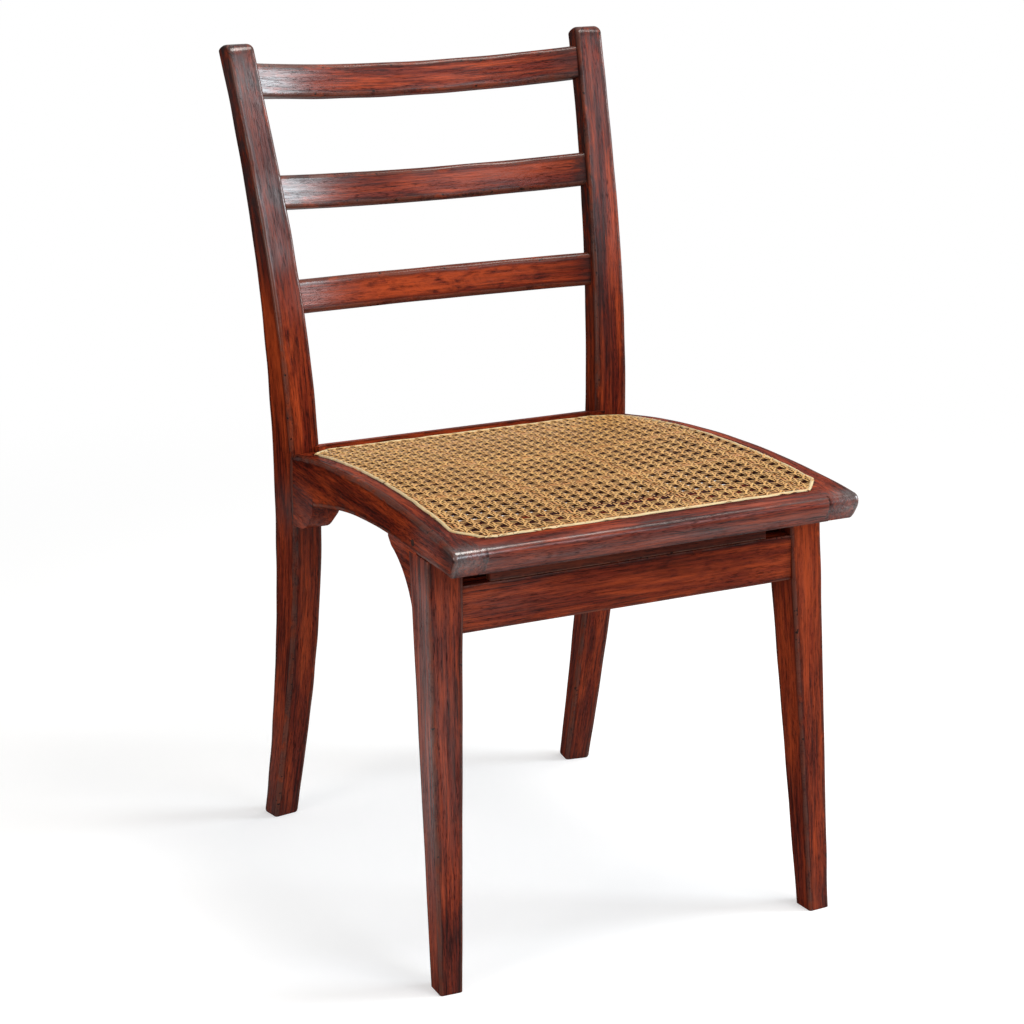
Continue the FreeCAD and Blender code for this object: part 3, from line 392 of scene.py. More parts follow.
def across_chair(along, ring):
    """A section drawn in side view and carried straight across the chair."""
    return np.stack((np.broadcast_to(along, ring.shape[:2]), ring[..., 0], ring[..., 1]), axis=-1)


def ring_of(stations, *corners):
    """The corners of a section at each station, each given by two numbers or by two rows of numbers."""
    rows = [[np.broadcast_to(value, stations.shape) for value in corner] for corner in corners]
    return np.array(rows, dtype=float).transpose(2, 0, 1)


def box_corners(low_u, high_u, low_v, high_v, stations):
    """The four corners of a section at each station, from its limits across and deep."""
    return ring_of(stations, (low_u, low_v), (high_u, low_v), (high_u, high_v), (low_u, high_v))


# The chair's curves in side view and in plan
def crown(y):
    """The seat's top line: a circle of large radius."""
    return CROWN_Z + np.sqrt(CROWN_RADIUS ** 2 - (y - CROWN_Y) ** 2)


def rail_top(y):
    """The side rail's upper line: the nose circle at the front, then the crown."""
    nose = NOSE_Z + np.sqrt(np.maximum(NOSE_RADIUS ** 2 - (y - NOSE_Y) ** 2, 0))
    return np.where(y < NOSE_Y - 0.95, nose, crown(y))


def rail_under(y):
    """The side rail's lower line: the nose circle, the sloping heel, the flat, then the hollow arch."""
    nose = NOSE_Z - np.sqrt(np.maximum(NOSE_RADIUS ** 2 - (y - NOSE_Y) ** 2, 0))
    heel = NOSE_LOW_Z + (y - NOSE_LOW_Y) * (UNDERSIDE_Z - NOSE_LOW_Z) / (NOSE_HEEL_Y - NOSE_LOW_Y)
    past = np.maximum(y, ARCH_START_Y) - ARCH_START_Y
    arch = UNDERSIDE_Z - ARCH_RADIUS + np.sqrt(ARCH_RADIUS ** 2 - past ** 2)
    return np.where(y < NOSE_LOW_Y, nose, np.where(y < NOSE_HEEL_Y, heel, arch))


def rail_outer(y):
    """The side rail's outer face in plan: a straight line, closer in towards the back."""
    return RAIL_OUTER_X + RAIL_TAPER * (RAIL_REAR_Y - y)


def groove_x(y):
    """How far from the chair's middle the cane's edge lies, at a distance y from front to back."""
    xs, ys = np.array(GROOVE).T
    return np.interp(y, ys[::-1], xs[::-1], left=0, right=0)


# Wooden pieces
def make_posts():
    """The back posts: a four-cornered section whose corner, width, depth and turn are smooth curves of the
    height. Near the top the heights move to end on a circular arch, in four rounds to settle them."""
    stations, inset, drawn = run_with_ends(0, POST_TOP_Z, 3, POST_TOP_EDGE)
    inset = np.where(stations < POST_TOP_Z / 2, POST_FOOT_SHARE * inset, inset)
    width, depth = (smooth_run(v, POST_HEIGHTS, stations) for v in (POST_WIDTH, POST_DEPTH))
    corners = box_corners(-width, 0, 0, depth, stations)

    def place(height, ring):
        height = np.broadcast_to(height, ring.shape[:2]).copy()
        flat = height.copy()
        for _ in range(4):
            curves = (POST_CORNER_X, POST_CORNER_Y, POST_TURN)
            x, y, turn = (smooth_run(values, POST_HEIGHTS, height) for values in curves)
            turn = np.radians(turn)
            across = x + ring[..., 0] * np.cos(turn) + ring[..., 1] * np.sin(turn)
            deep = y - ring[..., 0] * np.sin(turn) + ring[..., 1] * np.cos(turn)
            arch = np.sqrt(np.maximum(POST_TOP_RADIUS ** 2 - (deep - POST_TOP_CENTRE_Y) ** 2, 0))
            share = np.clip((flat - POST_ARCH_FROM) / (POST_TOP_Z - POST_ARCH_FROM), 0, 1) ** 2
            height = flat + share * (POST_TOP_CENTRE_Z + arch - POST_TOP_Z)
        return np.stack((across, deep, height), axis=-1)

    make_wood(("back_post_right", "back_post_left"), place, 1, (stations, inset, drawn, corners, POST_EDGE))


def make_legs():
    """The front legs: a section that grows in a straight line from foot to top, turned with the side rail."""
    stations, inset, drawn = run_with_ends(0, LEG_TOP_Z + 1, 3, 0.8)
    share = stations / LEG_TOP_Z
    x, y, width, depth = (a + (b - a) * share for a, b in zip(LEG_FOOT, LEG_TOP))
    corners = box_corners(-width, 0, 0, depth, stations)
    turn = math.radians(SIDE_TURN)

    def place(height, ring):
        across = x[:, None] + ring[..., 0] * math.cos(turn) - ring[..., 1] * math.sin(turn)
        deep = y[:, None] + ring[..., 0] * math.sin(turn) + ring[..., 1] * math.cos(turn)
        return np.stack((across, deep, np.broadcast_to(height, across.shape)), axis=-1)

    make_wood(("front_leg_right", "front_leg_left"), place, 5, (stations, inset, drawn, corners, LEG_EDGE))


def make_slats():
    """The bowed slats: a rounded section carried along an arc in plan, then tilted about its lower edge."""
    for number, (name, (low_y, low_z, tilt, half)) in enumerate(SLATS.items()):
        stations, inset, drawn = run_with_ends(-half, half, 3, 0.5)
        corners = box_corners(0, SLAT_THICK, 0, SLAT_HIGH, stations)
        lean = math.radians(tilt)

        def place(along, ring):
            centre = SLAT_BOW - SLAT_CURVE
            angle = np.arcsin(along / SLAT_CURVE)
            radius = SLAT_CURVE + ring[..., 0]
            across = radius * np.sin(angle)
            bow = centre + radius * np.cos(angle)
            deep = low_y + bow * math.cos(lean) + ring[..., 1] * math.sin(lean)
            high = low_z - bow * math.sin(lean) + ring[..., 1] * math.cos(lean)
            return np.stack((across, deep, high), axis=-1)

        make_wood((name,), place, 10 + number, (stations, inset, drawn, corners, SLAT_EDGE))


def make_side_rails():
    """The side rails: between two curved lines and two straight faces, with a step down to the bed."""
    nose = NOSE_Y - NOSE_RADIUS * np.cos(np.linspace(0, 1.35, 12))
    body = np.linspace(nose[-1] + 1.5, RAIL_REAR_Y, 150)
    y = np.concatenate((nose, body, np.full(3, RAIL_REAR_Y)))
    drawn = np.concatenate((np.ones(len(y) - 3), (0.6, 0.3, 0)))
    top, under = rail_top(y), rail_under(y)
    tall = np.maximum(top - under, 1e-3)
    front = np.maximum(RAIL_EDGE - (y - y[0]), 0)
    plan_round = RAIL_EDGE - np.sqrt(RAIL_EDGE ** 2 - front ** 2)
    outer = rail_outer(y) - plan_round
    inner = rail_outer(y) - RAIL_WIDTH / math.cos(math.radians(SIDE_TURN))
    step = np.clip(groove_x(y), inner + 0.2, outer - 2)
    drop = np.where((groove_x(y) > inner + 0.2) & (tall > 10), BED_DEPTH, 0.02)
    small = np.minimum(1, tall / 10)
    bed = top - drop * small
    corners = ring_of(y, (outer, under), (outer, top), (step, top),
                      (step - 0.1, bed), (inner, bed), (inner, under))
    none = np.zeros(len(y))
    worn, sharp = RAIL_EDGE * small, 0.01 + none
    radii = np.stack((worn, worn, 2 * sharp, sharp, 0.05 * small, 0.8 * small), 1)

    def place(along, ring):
        return np.stack((ring[..., 0], np.broadcast_to(along, ring.shape[:2]), ring[..., 1]), axis=-1)

    names = ("seat_side_rail_right", "seat_side_rail_left")
    make_wood(names, place, 20, (y, none, drawn, corners, radii), 0.12, 0.2)


def make_front_rail():
    """The front rail: a ring in side view, carried straight across the chair. It runs round the nose, over
    the crown to the cane's edge, down to its bed, then round the back and underside."""
    lowest = math.atan2(NOSE_LOW_Z - NOSE_Z, NOSE_LOW_Y - NOSE_Y) + 2 * math.pi
    sweep = np.linspace(lowest, math.pi / 2 + 0.112, 14)
    nose = np.stack((NOSE_Y + NOSE_RADIUS * np.cos(sweep), NOSE_Z + NOSE_RADIUS * np.sin(sweep)), 1)
    stations, inset, drawn = run_with_ends(-FRONT_RAIL_HALF, FRONT_RAIL_HALF, 4, 0.3)
    bed_y = np.interp(np.abs(stations), (GROOVE[3][0], GROOVE[2][0]), (GROOVE[3][1], GROOVE[2][1]))

    def on_crown(first, last, shares, drop):
        at = first + (last - first) * shares[:, None]
        return np.stack((at, crown(at) - drop), axis=-1)

    def straight(first, last, shares):
        line = np.array(first) + (np.array(last) - np.array(first)) * shares[:, None]
        return np.broadcast_to(line[:, None], (len(shares), len(stations), 2))

    heel = (NOSE_HEEL_Y, UNDERSIDE_Z)
    top_back = (FRONT_RAIL_BACK, crown(FRONT_RAIL_BACK) - BED_DEPTH)
    low_back = (FRONT_RAIL_BACK, UNDERSIDE_Z)
    rows = (np.broadcast_to(nose[:, None], (len(nose), len(stations), 2)),
            on_crown(np.full(len(stations), nose[-1, 0]), bed_y, np.linspace(0.12, 1, 6), 0),
            on_crown(bed_y + 0.1, FRONT_RAIL_BACK, np.linspace(0, 1, 9), BED_DEPTH),
            straight(top_back, low_back, np.linspace(0.15, 1, 6)),
            straight(low_back, heel, np.linspace(0.1, 1, 9)),
            straight(heel, nose[0], np.linspace(0.2, 0.8, 4)))
    ring = np.concatenate(rows).transpose(1, 0, 2)
    rng = np.random.default_rng(SEED + 30)
    middle = np.array((-250, 446))
    outward = ring - middle
    reach = np.linalg.norm(outward, axis=2, keepdims=True)
    circle = np.arctan2(outward[..., 1], outward[..., 0])
    swell = np.minimum(0.15 * wander(rng, stations[:, None], circle, 150), MOST_SWELL)[..., None]
    ring = middle + outward * (1 + (swell - inset[:, None, None]) / reach) * drawn[:, None, None]
    points = across_chair(stations[:, None], ring)
    heel_gap = np.linalg.norm(ring - np.array(heel), axis=2)
    nose_gap = np.linalg.norm(ring - np.array((NOSE_Y - 5, NOSE_Z + 7)), axis=2)
    grain = points[..., (1, 2, 0)] * MM + rng.uniform(*GRAIN_START, 3)
    marks = {"grain": grain, "edge": np.minimum(heel_gap, nose_gap) * MM}
    fit(skin("seat_front_rail_wood", points, marks), "frame_wood", "seat_front_rail")


def make_back_rail():
    """The back rail: upright faces and a top a little proud of the cane, carried straight across."""
    front, back, low = BACK_RAIL
    stations, inset, drawn = run_with_ends(-174, 174, 5, 0.3)
    bed_y = np.interp(np.abs(stations), (GROOVE[0][0], GROOVE[1][0]), (GROOVE[0][1], GROOVE[1][1]))
    bed_y = np.clip(bed_y, front + 0.5, back)
    bed_z = crown(bed_y)
    corners = ring_of(stations, (front, low), (back, low), (back, crown(back) + BACK_RAIL_PROUD),
                      (bed_y, bed_z + BACK_RAIL_PROUD), (bed_y - 0.1, bed_z - BED_DEPTH),
                      (front, crown(front) - BED_DEPTH))
    radii = np.array((0.8, 3.5, 2, 0.02, 0.01, 0.3))
    make_wood(("seat_back_rail",), across_chair, 31, (stations, inset, drawn, corners, radii), 0.12, 0.2)


def make_boards():
    """The apron and the strip above it: straight boards with slightly eased edges."""
    boards = (("front_apron", APRON, APRON_HALF, 1.5, "frame_wood", 0.3),
              ("front_spacer_strip", STRIP, STRIP_HALF, 0.8, "strip_wood", 0.6))
    for number, (name, (front, back, low, high), half, edge, slot, ease) in enumerate(boards):
        stations, inset, drawn = run_with_ends(-half, half, 4, ease)
        shape = (stations, inset, drawn, box_corners(front, back, low, high, stations), edge)
        make_wood((name,), across_chair, 34 + number, shape, 0.12, slot=slot)


def make_glue_blocks():
    """Blocks behind the front rail's ends, which darken the gaps beside the strip."""
    for side, name in enumerate(("glue_block_right", "glue_block_left")):
        stations, inset, drawn = run_with_ends(*GLUE_BLOCK_X, 5, 0.6)
        corners = box_corners(*GLUE_BLOCK, stations)
        points, marks = bar(across_chair, 38 + side, stations, inset, drawn, corners, 1, 0.1)
        fit(skin(name, points if side == 0 else mirrored(points), marks), "strip_wood")


def make_small_blocks():
    """The corbels, knee brackets and pegs: the CAD shapes, their edges eased by a small bevel."""
    blocks = ("rear_corbel_right", "rear_corbel_left",
              "knee_bracket_right", "knee_bracket_left", "joint_pegs")
    for number, name in enumerate(blocks):
        slot, ease = ("peg_wood", PEG_EASE) if name == "joint_pegs" else ("frame_wood", BLOCK_EASE)
        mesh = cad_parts[name].data.copy()
        places = np.empty(len(mesh.vertices) * 3, dtype=np.float32)
        mesh.vertices.foreach_get("co", places)
        places = places.reshape(-1, 3)
        offset = np.random.default_rng(SEED + 40 + number).uniform(*GRAIN_START, 3)
        put_values(mesh, "grain", places[:, (0, 2, 1)] + offset, True)
        put_values(mesh, "edge", np.full(len(places), BLOCK_EDGE_GAP))
        piece = fit(finished(name + "_wood", mesh, 25), slot, name)
        bevel = piece.modifiers.new("eased_edges", "BEVEL")
        bevel.width = ease * MM
        bevel.segments = 3
        bevel.limit_method = "ANGLE"
        bevel.angle_limit = math.radians(35)


# The woven cane, in mm: spacing, the place of one eye, strand width, waves, sag and the weave's middle
CANE_PITCH_X = 15.25
CANE_PITCH_Y = 14.9
CANE_EYE_X = 51.2
CANE_EYE_Y = -139
CANE_WIDE = 1.95
CANE_LAYER = 1.25
CANE_PAIR = 1.4
CANE_WEAVE = 0.62
CANE_SAG = 7
CANE_SAG_X = 190
CANE_SAG_Y = 215
CANE_RISE = 1.6
CANE_MIDDLE_Y = -50
DIAGONAL_WIDE = 2
DIAGONAL_STEP = 3.4
STRAND_STEP = 2.6
# Two more strands, this far apart, run over every eighth column and row of eyes
FILLER_GAP = 2
FILLER_WIDE = 2.4
FILLER_WEAVE = 0.45
FILLER_DROP = 0.2
FILLER_COLUMNS = (-193, -71, 51, 173)
FILLER_ROWS = (-258.2, -139, -19.8, 99.4)
# A strand's section: share of its width, height in mm; and how far each corner is in the strand's own painted
# shade
CANE_SECTION = ((-0.36, -1.9), (-0.5, 0.05), (-0.46, 0.42), (0, 0.72),
                (0.46, 0.42), (0.5, 0.05), (0.36, -1.9))
CANE_SHADE = (1, 0.9, 0.2, 0, 0.2, 0.9, 1)
CANE_SHARP = 50
# From one strand to the next in the fibre pattern, in metres
FIBRE_STEP = 0.037
# The reed over the cane's edge: section, distance inside the groove, corner radius, lift and waves
REED_SECTION = ((-1.9, -0.5), (-1.5, 0.5), (-0.5, 0.95), (0.5, 0.95), (1.5, 0.5), (1.9, -0.5))
REED_INSET = 2.4
REED_CORNER = 9
REED_LIFT = 0.45
REED_WAVES = ((23, 0.35), (41, 0.25), (67, 0.15))


def cane_bed(x, y):
    """Height of the weave's middle layer, sagging over the opening as a product of two parabolas."""
    across = np.maximum(1 - (x / CANE_SAG_X) ** 2, 0)
    deep = np.maximum(1 - ((y - CANE_MIDDLE_Y) / CANE_SAG_Y) ** 2, 0)
    return crown(y) - BED_DEPTH + CANE_RISE - CANE_SAG * across * deep


def cane_outline():
    """The cane's outline in plan: the groove's corners on the right, then on the left."""
    half = np.array(GROOVE)
    return np.concatenate((half, half[::-1] * (-1, 1)))


def clip_to_groove(start, direction, margin):
    """Where straight lines in plan enter and leave the cane's outline."""
    outline = cane_outline()
    low = np.full(len(start), -1e4)
    high = np.full(len(start), 1e4)
    for corner, following in zip(outline, np.roll(outline, -1, axis=0)):
        edge = following - corner
        normal = np.array((edge[1], -edge[0])) / np.hypot(*edge)
        normal *= -np.sign(normal @ (corner - np.array((0, CANE_MIDDLE_Y))))
        rate = direction @ normal
        gap = (start - corner) @ normal - margin
        if abs(rate) < 1e-9:
            high = np.where(gap < 0, -1e4, high)
            continue
        cut = -gap / rate
        low, high = (np.maximum(low, cut), high) if rate > 0 else (low, np.minimum(high, cut))
    return low, high


def strands(name, start, direction, height, spacing, seed, wide=CANE_WIDE, warmth=0):
    """Flat cane strands along straight lines in plan. The section follows the sagging bed plus a weaving
    wave given by height. Each strand strays and twists by slow sine waves."""
    rng = np.random.default_rng(SEED + seed)
    direction = np.array(direction, dtype=float)
    direction /= np.hypot(*direction)
    low, high = clip_to_groove(start, direction, 1)
    keep = high - low > 6
    start, low, high, strand = start[keep], low[keep], high[keep], np.arange(len(start))[keep]
    count = int((high - low).max() / spacing)
    at = low[:, None] + (high - low)[:, None] * np.linspace(0, 1, count)
    x = start[:, 0, None] + direction[0] * at
    y = start[:, 1, None] + direction[1] * at
    side = np.array((-direction[1], direction[0]))
    each = (len(start), 1)
    stray = 0.22 * np.sin(at / rng.uniform(25, 60, each) + rng.uniform(0, 6, each))
    z = cane_bed(x, y) + height(x, y, strand[:, None])
    twist = 0.10 * np.sin(at / rng.uniform(18, 40, each) + rng.uniform(0, 6, each))
    section = np.array(CANE_SECTION)
    section[:, 0] *= wide
    across = section[:, 0] * (1 + rng.uniform(-0.12, 0.12, (len(start), 1, 1))) + stray[..., None]
    lift = section[:, 1] + twist[..., None] * section[:, 0]
    x, y, z, run = (values[..., None] for values in (x, y, z, at * MM))
    points = np.stack((x + side[0] * across, y + side[1] * across, z + lift), -1)
    points[:, (0, -1)] = points[:, (0, -1)].mean(axis=2, keepdims=True)
    size = points.shape[:3]
    tint = np.broadcast_to(rng.uniform(0, 1, (len(start), 1, 1)), size)
    path = np.stack(np.broadcast_arrays(section[:, 0] * MM, run, strand[:, None, None] * FIBRE_STEP), -1)
    shade = np.broadcast_to(CANE_SHADE, size)
    marks = {"tint": tint, "warm": np.full(size, warmth), "under": shade, "fibre": path}
    return skin(name, points, marks, CANE_SHARP)


def eye_wave(value, first, pitch, function=np.cos):
    """A wave that repeats with the eyes of the weave."""
    return function(2 * math.pi * (value - first) / pitch)


def make_cane():
    """The weave: pairs of columns and rows between the eyes, diagonals both ways through the corners of the
    eyes, and two more strands over every eighth column and row of eyes."""
    pair = np.array((-CANE_PAIR, CANE_PAIR))
    columns = (CANE_EYE_X + CANE_PITCH_X * (np.arange(-17, 11) + 0.5))[:, None] + pair
    rows = (CANE_EYE_Y + CANE_PITCH_Y * (np.arange(-9, 21) + 0.5))[:, None] + pair
    diagonals = CANE_EYE_X + CANE_PITCH_X * (np.arange(-34, 35) + 0.5)
    gap = np.array((-FILLER_GAP, FILLER_GAP))
    fill_x, fill_y = ((np.array(places)[:, None] + gap).ravel() for places in (FILLER_COLUMNS, FILLER_ROWS))

    def lines(x, y):
        return np.stack(np.broadcast_arrays(x, y), axis=1).astype(float)

    def column_height(x, y, strand):
        return -CANE_WEAVE * np.where(strand % 2, 1, -1) * eye_wave(y, CANE_EYE_Y, CANE_PITCH_Y, np.sin)

    def row_height(x, y, strand):
        return CANE_WEAVE * np.where(strand % 2, 1, -1) * eye_wave(x, CANE_EYE_X, CANE_PITCH_X, np.sin)

    def rising_height(x, y, strand):
        return -CANE_LAYER * eye_wave(x, CANE_EYE_X, CANE_PITCH_X)

    def falling_height(x, y, strand):
        return CANE_LAYER * eye_wave(x, CANE_EYE_X, CANE_PITCH_X)

    def filler_column_height(x, y, strand):
        return FILLER_WEAVE * eye_wave(y, CANE_EYE_Y, CANE_PITCH_Y * 2) - FILLER_DROP

    def filler_row_height(x, y, strand):
        return FILLER_WEAVE * eye_wave(x, CANE_EYE_X, CANE_PITCH_X * 2) - FILLER_DROP

    across, along = (1, 0), (0, 1)
    step, fill = STRAND_STEP, (FILLER_WIDE, 1)
    middle = lines(diagonals, CANE_EYE_Y)
    slope_up, slope_down = (CANE_PITCH_X, CANE_PITCH_Y), (CANE_PITCH_X, -CANE_PITCH_Y)
    for row in (
            ("cane_columns", lines(columns.ravel(), CANE_MIDDLE_Y), along, column_height, step, 51),
            ("cane_rows", lines(0, rows.ravel()), across, row_height, step, 52),
            ("cane_rising_diagonals", middle, slope_up, rising_height, DIAGONAL_STEP, 53, DIAGONAL_WIDE),
            ("cane_falling_diagonals", middle, slope_down, falling_height, DIAGONAL_STEP, 54, DIAGONAL_WIDE),
            ("cane_filler_columns", lines(fill_x, CANE_MIDDLE_Y), along, filler_column_height, step, 55,
             *fill),
            ("cane_filler_rows", lines(0, fill_y), across, filler_row_height, step, 56, *fill)):
        fit(strands(*row), "cane", "cane_panel")


def make_binder():
    """The flat reed over the cane's edge: a low arched strip round the outline, a little wavy."""
    outline = cane_outline()
    rng = np.random.default_rng(SEED + 60)
    corner = np.full((1, len(outline)), REED_CORNER)
    path = rounded_ring(outline[None], corner, np.array((REED_INSET,)), 10, 60)[0][0]
    along = np.concatenate(((0,), np.cumsum(np.linalg.norm(np.diff(path, axis=0), axis=1))))
    whole = along[-1] + np.linalg.norm(path[0] - path[-1])
    tangent = np.roll(path, -1, axis=0) - np.roll(path, 1, axis=0)
    tangent /= np.linalg.norm(tangent, axis=1, keepdims=True)
    wave = np.zeros(len(path))
    for waves, size in REED_WAVES:
        wave += size * np.sin(2 * math.pi * waves * along / whole + rng.uniform(0, 6))
    section = np.array(REED_SECTION)
    across = section[:, 0] + wave[:, None]
    lift = section[:, 1] + 0.12 * np.sin(2 * math.pi * 31 * along / whole)[:, None]
    x, y = path[:, 0, None], path[:, 1, None]
    points = np.stack((x - tangent[:, 1, None] * across, y + tangent[:, 0, None] * across,
                       crown(y) + REED_LIFT + lift), -1)
    rows, around = points.shape[:2]
    index = np.arange(rows * around).reshape(rows, around)
    ahead = np.roll(index, -1, axis=0)
    faces = np.stack((index, np.roll(index, -1, axis=1), np.roll(ahead, -1, axis=1), ahead), axis=-1)
    mesh = bpy.data.meshes.new("cane_binder")
    mesh.from_pydata((points.reshape(-1, 3) * MM).tolist(), [], faces.reshape(-1, 4).tolist())
    place = np.stack(np.broadcast_arrays(section[:, 0] * MM, along[:, None] * MM, 0), -1)
    put_values(mesh, "fibre", place, True)
    fit(finished("cane_binder", mesh, CANE_SHARP), "cane_spline", "cane_spline")


# Materials
# How wide the rubbed line along an arris is, in metres
RUBBED_WIDTH = 0.0005


def new_group(name, inputs, outputs):
    """An empty shader node group with its named sockets, and its input and output nodes."""
    tree = bpy.data.node_groups.new(name, "ShaderNodeTree")
    kinds = {"float": "NodeSocketFloat", "colour": "NodeSocketColor", "vector": "NodeSocketVector"}
    for way, sockets in (("INPUT", inputs), ("OUTPUT", outputs)):
        for label, kind in sockets.items():
            tree.interface.new_socket(label, in_out=way, socket_type=kinds[kind])
    return tree, tree.nodes.new("NodeGroupInput").outputs, tree.nodes.new("NodeGroupOutput")


def set_or_wire(tree, node, wires):
    """Wires each named input that is given a socket, and sets the others."""
    for label, value in wires.items():
        if isinstance(value, bpy.types.NodeSocket):
            tree.links.new(value, node.inputs[label])
        else:
            node.inputs[label].default_value = value
    return node


def add(tree, kind, wires=None, **settings):
    """A node with its settings made and its inputs wired or set."""
    node = tree.nodes.new(kind)
    for key, value in settings.items():
        setattr(node, key, value)
    return set_or_wire(tree, node, wires or {})


def maths(tree, operation, *values):
    """One Math node, its result socket given back."""
    return add(tree, "ShaderNodeMath", dict(enumerate(values)), operation=operation).outputs[0]


def times(tree, one, other):
    """Two values multiplied."""
    return maths(tree, "MULTIPLY", one, other)


def plus(tree, one, other):
    """Two values added."""
    return maths(tree, "ADD", one, other)


def ramp(tree, value, low, high, first=0, last=1, kind="SMOOTHSTEP"):
    """A value carried from low..high to first..last."""
    wires = {"Value": value, "From Min": low, "From Max": high, "To Min": first, "To Max": last}
    return add(tree, "ShaderNodeMapRange", wires, interpolation_type=kind).outputs["Result"]


def blend_colour(tree, share, one, other):
    """Two colours mixed by a share; each is a socket or a plain colour."""
    whole = [value if isinstance(value, bpy.types.NodeSocket) else (*value, 1) for value in (one, other)]
    node = add(tree, "ShaderNodeMix", data_type="RGBA")
    return set_or_wire(tree, node, {0: share, 6: whole[0], 7: whole[1]}).outputs[2]


def laid_over(tree, colour, *layers):
    """A colour with others laid over it in turn, each by its share."""
    for share, over in layers:
        colour = blend_colour(tree, share, colour, over)
    return colour


def attribute(tree, label, output="Fac"):
    """What the mesh says at this place under a name."""
    return add(tree, "ShaderNodeAttribute", attribute_name=label).outputs[output]


def stretched(tree, vector, *scale):
    """A place multiplied by a scale of its own in each direction."""
    return add(tree, "ShaderNodeVectorMath", {0: vector, 1: scale}, operation="MULTIPLY").outputs[0]


def noise(tree, vector, scale, detail=4, rough=0.55, distort=0):
    """The height of a noise texture."""
    wires = {"Vector": vector, "Scale": scale, "Detail": detail, "Roughness": rough, "Distortion": distort}
    return add(tree, "ShaderNodeTexNoise", wires).outputs[0]


def noise_along(tree, grain, share, *settings):
    """A noise texture drawn out along the grain: its pace there is only a share of that across."""
    return noise(tree, stretched(tree, grain, 1, 1, share), *settings)


def build_figure_group():
    """Planed hardwood: slow colour bands, darker streaks, fine fibre and short open pores, all drawn out."""
    tree, given, out = new_group(
        "hardwood figure",
        {"Grain": "vector", "Deep": "colour", "Body": "colour", "Bright": "colour",
         "Streak": "float", "Band": "float"},
        {"Color": "colour", "Height": "float", "Pores": "float"})
    grain, deep = given["Grain"], given["Deep"]
    slow = noise_along(tree, grain, 0.16, 34, 4, 0.6, 0.6)
    flame = noise_along(tree, grain, 0.045, 170, 5, 0.65, 0.5)
    streak = noise_along(tree, grain, 0.03, 420, 6, 0.72, 0.4)
    fibre = noise_along(tree, grain, 0.04, 1000, 4, 0.7)
    pore = noise_along(tree, grain, 0.09, 1500, 2, 0.5)
    pores = times(tree, ramp(tree, pore, 0.53, 0.62), ramp(tree, flame, 0.62, 0.42))
    both = plus(tree, times(tree, slow, 0.5), times(tree, flame, 0.5))
    band = times(tree, ramp(tree, both, 0.42, 0.64), given["Band"])
    both = plus(tree, times(tree, slow, 0.35), times(tree, streak, 0.65))
    dark = times(tree, ramp(tree, both, 0.52, 0.37), given["Streak"])
    fibres = times(tree, ramp(tree, fibre, 0.46, 0.64), 0.6)
    colour = laid_over(tree, given["Body"], (band, given["Bright"]), (dark, deep),
                       (fibres, deep), (times(tree, pores, 0.75), deep))
    height = maths(tree, "SUBTRACT", times(tree, fibre, 0.35), times(tree, pores, 0.6))
    height = plus(tree, height, times(tree, streak, 0.25))
    set_or_wire(tree, out, {"Color": colour, "Height": height, "Pores": pores})
    return tree


def build_wear_group():
    """Wear: rubbed arrises where the finish is thin, small knocks along them, and faint scuffs on flats."""
    tree, given, out = new_group(
        "arris wear", {"Edge": "float", "Place": "vector", "Amount": "float"},
        {"Rubbed": "float", "Knocks": "float", "Scuffs": "float"})
    place = given["Place"]
    broad = noise(tree, place, 28, 4, 0.6)
    fine = noise(tree, place, 420, 4, 0.65)
    near = maths(tree, "SUBTRACT", 1.25, maths(tree, "DIVIDE", given["Edge"], RUBBED_WIDTH))
    level = plus(tree, near, times(tree, maths(tree, "SUBTRACT", broad, 0.55), 4))
    level = plus(tree, level, times(tree, maths(tree, "SUBTRACT", fine, 0.5), 2.2))
    rubbed = times(tree, ramp(tree, level, 0.35, 1.1), given["Amount"])
    knock = noise(tree, place, 160, 2, 0.5)
    knocks = times(tree, ramp(tree, knock, 0.66, 0.72), ramp(tree, near, -2, 1))
    scuff = noise_along(tree, place, 0.35, 90, 6, 0.7, 1.2)
    set_or_wire(tree, out, {"Rubbed": rubbed, "Knocks": knocks, "Scuffs": ramp(tree, scuff, 0.60, 0.74)})
    return tree


def new_material(name):
    """An empty material with a Principled shader wired to its output."""
    material = bpy.data.materials.new(name)
    material.use_nodes = True
    tree = material.node_tree
    tree.nodes.clear()
    shader = tree.nodes.new("ShaderNodeBsdfPrincipled")
    out = tree.nodes.new("ShaderNodeOutputMaterial")
    tree.links.new(shader.outputs[0], out.inputs["Surface"])
    return material, tree, shader, out


def group_node(tree, group, wires):
    """The group placed in a material with its own values; its outputs are given back."""
    node = tree.nodes.new("ShaderNodeGroup")
    node.node_tree = group
    return set_or_wire(tree, node, wires).outputs


